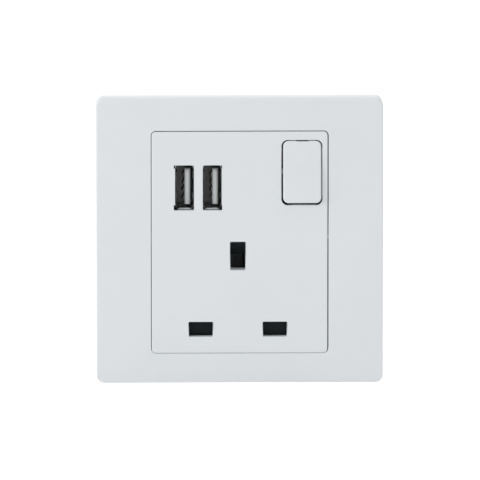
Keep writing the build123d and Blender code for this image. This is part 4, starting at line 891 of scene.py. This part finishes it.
def saw_slot(mesh, top):
    """Saw a slot across the end of a spun head, along X, and close its walls and floor."""
    sole = top - SLOT_DEPTH
    cut_across(mesh, "z", [-SLOT_WIDTH / 2, SLOT_WIDTH / 2])
    cut_across(mesh, "y", [sole])
    strip = [face for face in mesh.faces if abs(face.calc_center_median().z) < SLOT_WIDTH / 2
             and face.calc_center_median().y > sole]
    bmesh.ops.delete(mesh, geom=strip, context="FACES")
    for wall in (-SLOT_WIDTH / 2, SLOT_WIDTH / 2):
        ends = [vert for vert in mesh.verts if vert.is_boundary
                and abs(vert.co.z - wall) < NEAR and abs(vert.co.y - sole) < NEAR]
        mesh.edges.new((min(ends, key=lambda vert: vert.co.x), max(ends, key=lambda vert: vert.co.x)))
    rim = [edge for edge in mesh.edges if edge.is_boundary or edge.is_wire]
    bmesh.ops.edgenet_fill(mesh, edges=rim)
    bmesh.ops.recalc_face_normals(mesh, faces=mesh.faces)


print("slot", round(SLOT_WIDTH / MM, 2), "mm wide and", round(SLOT_DEPTH / MM, 2), "mm deep")

# %% [markdown]
# ## Threads and whole screws
# A thread could be a bump texture, but the tip of a screw shows its outline. So it is a small triangle,
# spun round the core with a step along the axis at each turn. Its root sinks a little into the core, so
# that no gap opens between the two, and the ends of the spun triangle are closed at last.

# %% Threads and whole screws
THREAD_STEPS = 20
THREAD_PITCH = 0.8 * MM
THREAD_DEPTH = 0.32 * MM
THREAD_HALF = 0.42 * THREAD_PITCH
THREAD_ROOT = 0.97
HEAD_STEPS = 40
HEAD_EASE = 0.12 * MM
DOME_SHARE = 0.72
TIP_SHARE = 0.7
TIP_CHAMFER = 0.5 * MM


def wind_thread(mesh, core, start, length):
    """Wind a triangular thread on a core, from a start towards the tip, which points to -Y."""
    turns = int(length / THREAD_PITCH)
    foot = core * THREAD_ROOT
    corners = [(foot, start - THREAD_HALF), (core + THREAD_DEPTH, start), (foot, start + THREAD_HALF)]
    verts = [mesh.verts.new((radius, along, 0)) for radius, along in corners]
    edges = [mesh.edges.new(pair) for pair in zip(verts, verts[1:] + verts[:1])]
    step = (0, -THREAD_PITCH / THREAD_STEPS, 0)
    bmesh.ops.spin(mesh, geom=verts + edges, cent=(0, 0, 0), axis=AXIS, angle=math.tau * turns,
                   steps=THREAD_STEPS * turns, dvec=step, use_duplicate=False)
    bmesh.ops.holes_fill(mesh, edges=[edge for edge in mesh.edges if edge.is_boundary], sides=3)
    bmesh.ops.recalc_face_normals(mesh, faces=mesh.faces)


def screw(head, rise, crest, seat, tip):
    """One screw on the Y axis: head radius and rise, thread radius, and where the head and the tip are."""
    core = crest - THREAD_DEPTH
    top = seat + rise
    ease = HEAD_EASE
    outline = [(0, tip), (core * TIP_SHARE, tip), (core, tip + TIP_CHAMFER), (core, seat),
               (head - ease, seat), (head, seat + ease), (head, top - 4 * ease),
               (head - 2 * ease, top - ease), (head * DOME_SHARE, top), (0, top)]
    mesh = spun(outline, HEAD_STEPS)
    saw_slot(mesh, top)
    wind_thread(mesh, core, seat - THREAD_PITCH, seat - tip - 2 * THREAD_PITCH)
    return mesh


print("thread pitch", round(THREAD_PITCH / MM, 2), "mm")

# %% [markdown]
# ## Sets of screws
# Each CAD node holds all screws of one kind, so its screws are joined into one piece. Every screw is
# turned a bit further than the one before, because slots never line up on a real socket.

# %% Sets of screws
FIRST_TURN, NEXT_TURN = 25, 67
HEAD_RISE = 1.8 * MM
# Where the screws stand: x and z in millimetres.
CLAMP_PLACES = [(-11.645, -17.995), (-0.53, -17.995), (10.585, -17.995)]
HOUSING_PLACES = [(-19.62, -27.185), (19.58, -27.185), (-19.62, 26.415), (4.98, 26.415)]


def screw_set(name, node, places, head, crest):
    """The screws of one CAD node, each turned to its own angle, between the ends of the node's box."""
    low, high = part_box(node)
    together = bmesh.new()
    for number, (x, z) in enumerate(places):
        one = screw(head, HEAD_RISE, crest, high.y - HEAD_RISE, low.y)
        turned = Matrix.Rotation(math.radians(FIRST_TURN + NEXT_TURN * number), 4, "Y")
        bmesh.ops.transform(one, matrix=Matrix.Translation((x * MM, 0, z * MM)) @ turned, verts=one.verts)
        spare = bpy.data.meshes.new("spare")
        one.to_mesh(spare)
        one.free()
        together.from_mesh(spare)
        bpy.data.meshes.remove(spare)
    return new_piece(name, together, "screw_steel", "base", "screw_steel", node)


clamps = screw_set("clamp_screws", "terminal_screws", CLAMP_PLACES, head=2.5 * MM, crest=1.9 * MM)
print(clamps.name, len(clamps.data.polygons), "faces")
fixings = screw_set("housing_screws", "assembly_screws", HOUSING_PLACES, head=2.3 * MM, crest=1.4 * MM)
print(fixings.name, len(fixings.data.polygons), "faces")

# %% [markdown]
# ## Shutter spring
# A coil spring pushes the shutter shut. The CAD spring has few turns and cannot give way when the
# shutter rises. This one has six open turns between two closed end turns, as a compression spring has.
# A small circle is spun round the axis three times, each spin starting from the last ring of the one
# before, with a small step for the closed turns and a larger one between.

# %% Shutter spring
WIRE = 0.2 * MM
WIRE_SEGMENTS = 10
COIL = 1.0 * MM
CLOSED_PITCH = 2.05 * WIRE
OPEN_TURNS = 6
COIL_STEPS = 24


def wind(mesh, geometry, centre, turns, rise):
    """Spin geometry round an upright axis while it rises, and give back its last ring."""
    steps = COIL_STEPS * turns
    made = bmesh.ops.spin(mesh, geom=geometry, cent=centre, axis=(0, 0, 1), angle=math.tau * turns,
                          steps=steps, dvec=(0, 0, rise / steps), use_duplicate=False)
    return made["geom_last"]


low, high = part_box("shutter_spring")
foot = Vector(((low.x + high.x) / 2, (low.y + high.y) / 2, low.z))
height = high.z - low.z
coil = bmesh.new()
bmesh.ops.create_circle(coil, cap_ends=False, segments=WIRE_SEGMENTS, radius=WIRE)
bmesh.ops.rotate(coil, verts=coil.verts, cent=(0, 0, 0), matrix=Matrix.Rotation(math.radians(90), 3, "X"))
bmesh.ops.translate(coil, verts=coil.verts, vec=foot + Vector((COIL, 0, WIRE)))
ring = wind(coil, coil.verts[:] + coil.edges[:], foot, 1, CLOSED_PITCH)
ring = wind(coil, ring, foot, OPEN_TURNS, height - 2 * WIRE - 2 * CLOSED_PITCH)
wind(coil, ring, foot, 1, CLOSED_PITCH)
bmesh.ops.holes_fill(coil, edges=[edge for edge in coil.edges if edge.is_boundary], sides=0)
bmesh.ops.recalc_face_normals(coil, faces=coil.faces)
spring = new_piece("shutter_coil", coil, "spring_steel", "base", "spring_steel", "shutter_spring")
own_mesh(spring)
print(spring.name, len(spring.data.polygons), "faces")

# %% [markdown]
# ## Chips
# The rectifier and the controller of the charger lie on the front of the board. Their CAD solids are
# plain blocks. A moulded chip tapers a little towards its top so that it leaves the mould, has a
# chamfer along one long edge to show which way round it goes, and stands off the board. The body is a
# cube with its top scaled in and its edges bevelled, first the one long edge and then all of them.

# %% Chips
LEG_REACH = 0.75 * MM
CHIP_STANDOFF = 0.12 * MM
CHIP_TAPER = 0.93
CHIP_CHAMFER = 0.4 * MM
CHIP_EDGE = 0.08 * MM


def chip_body(low, high):
    """A tapered block with one chamfered edge. Its top points to -Y."""
    size = high - low - Vector((2 * LEG_REACH, CHIP_STANDOFF, 0))
    middle = (low + high - Vector((0, CHIP_STANDOFF, 0))) / 2
    block = cuboid(size, middle)
    top = [vert for vert in block.verts if vert.co.y < middle.y]
    bmesh.ops.scale(block, vec=(CHIP_TAPER, 1, CHIP_TAPER), space=Matrix.Translation(-middle), verts=top)
    index = [edge for edge in block.edges
             if all(vert in top and vert.co.x < middle.x for vert in edge.verts)]
    bevel(block, index, CHIP_CHAMFER, 1)
    bevel(block, block.edges[:], CHIP_EDGE, 2)
    bmesh.ops.recalc_face_normals(block, faces=block.faces)
    return block


print("chips taper to", CHIP_TAPER)

# %% [markdown]
# ## Chip legs
# A gull-wing leg is a strip that leaves the body, drops to the board and turns out into a foot. Each
# one starts as a bent line, which is extruded to its width and then given the thickness of the sheet.
# The legs stand for no node, because the CAD block includes them, so they only ride along with the
# base.

# %% Chip legs
LEG_SHEET = 0.15 * MM


def chip_legs(low, high, count, width):
    """Rows of gull-wing legs along both long sides, with their feet on the board."""
    legs = bmesh.new()
    middle = (low + high) / 2
    half = (high.x - low.x) / 2
    foot = high.y - 1.1 * LEG_SHEET
    # The bent line from inside the body to the toe: how far out, and where along Y.
    bends = [(half - 1.15 * LEG_REACH, middle.y), (half - 0.6 * LEG_REACH, middle.y),
             (half - 0.5 * LEG_REACH, middle.y + 0.15 * MM), (half - 0.45 * LEG_REACH, foot - 0.12 * MM),
             (half - 0.35 * LEG_REACH, foot), (half, foot)]
    for side in (-1, 1):
        for number in range(count):
            start = low.z + (high.z - low.z) * (number + 0.5) / count - width / 2
            verts = [legs.verts.new((middle.x + side * across, along, start)) for across, along in bends]
            line = [legs.edges.new(pair) for pair in zip(verts, verts[1:])]
            made = bmesh.ops.extrude_edge_only(legs, edges=line)["geom"]
            moved = [item for item in made if isinstance(item, bmesh.types.BMVert)]
            bmesh.ops.translate(legs, vec=(0, 0, width), verts=moved)
    bmesh.ops.recalc_face_normals(legs, faces=legs.faces)
    bmesh.ops.solidify(legs, geom=legs.faces[:], thickness=LEG_SHEET)
    return legs


for node, count, width in [("rectifier", 2, 0.7 * MM), ("controller", 4, 0.4 * MM)]:
    low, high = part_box(node)
    body = new_piece(f"{node}_body", chip_body(low, high), "chip_plastic", "base", "chip_plastic", node)
    rows = chip_legs(low, high, count, width)
    legs = new_piece(f"{node}_legs", rows, "contact_plate", "base", "contact_plate")
    print(body.name, len(body.data.polygons), "faces,", legs.name, len(legs.data.polygons), "faces")

# %% [markdown]
# ## Measure and finish
# The dressed object has to keep the CAD model's size, so its box is measured again.

# %% Measure and finish
low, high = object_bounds()
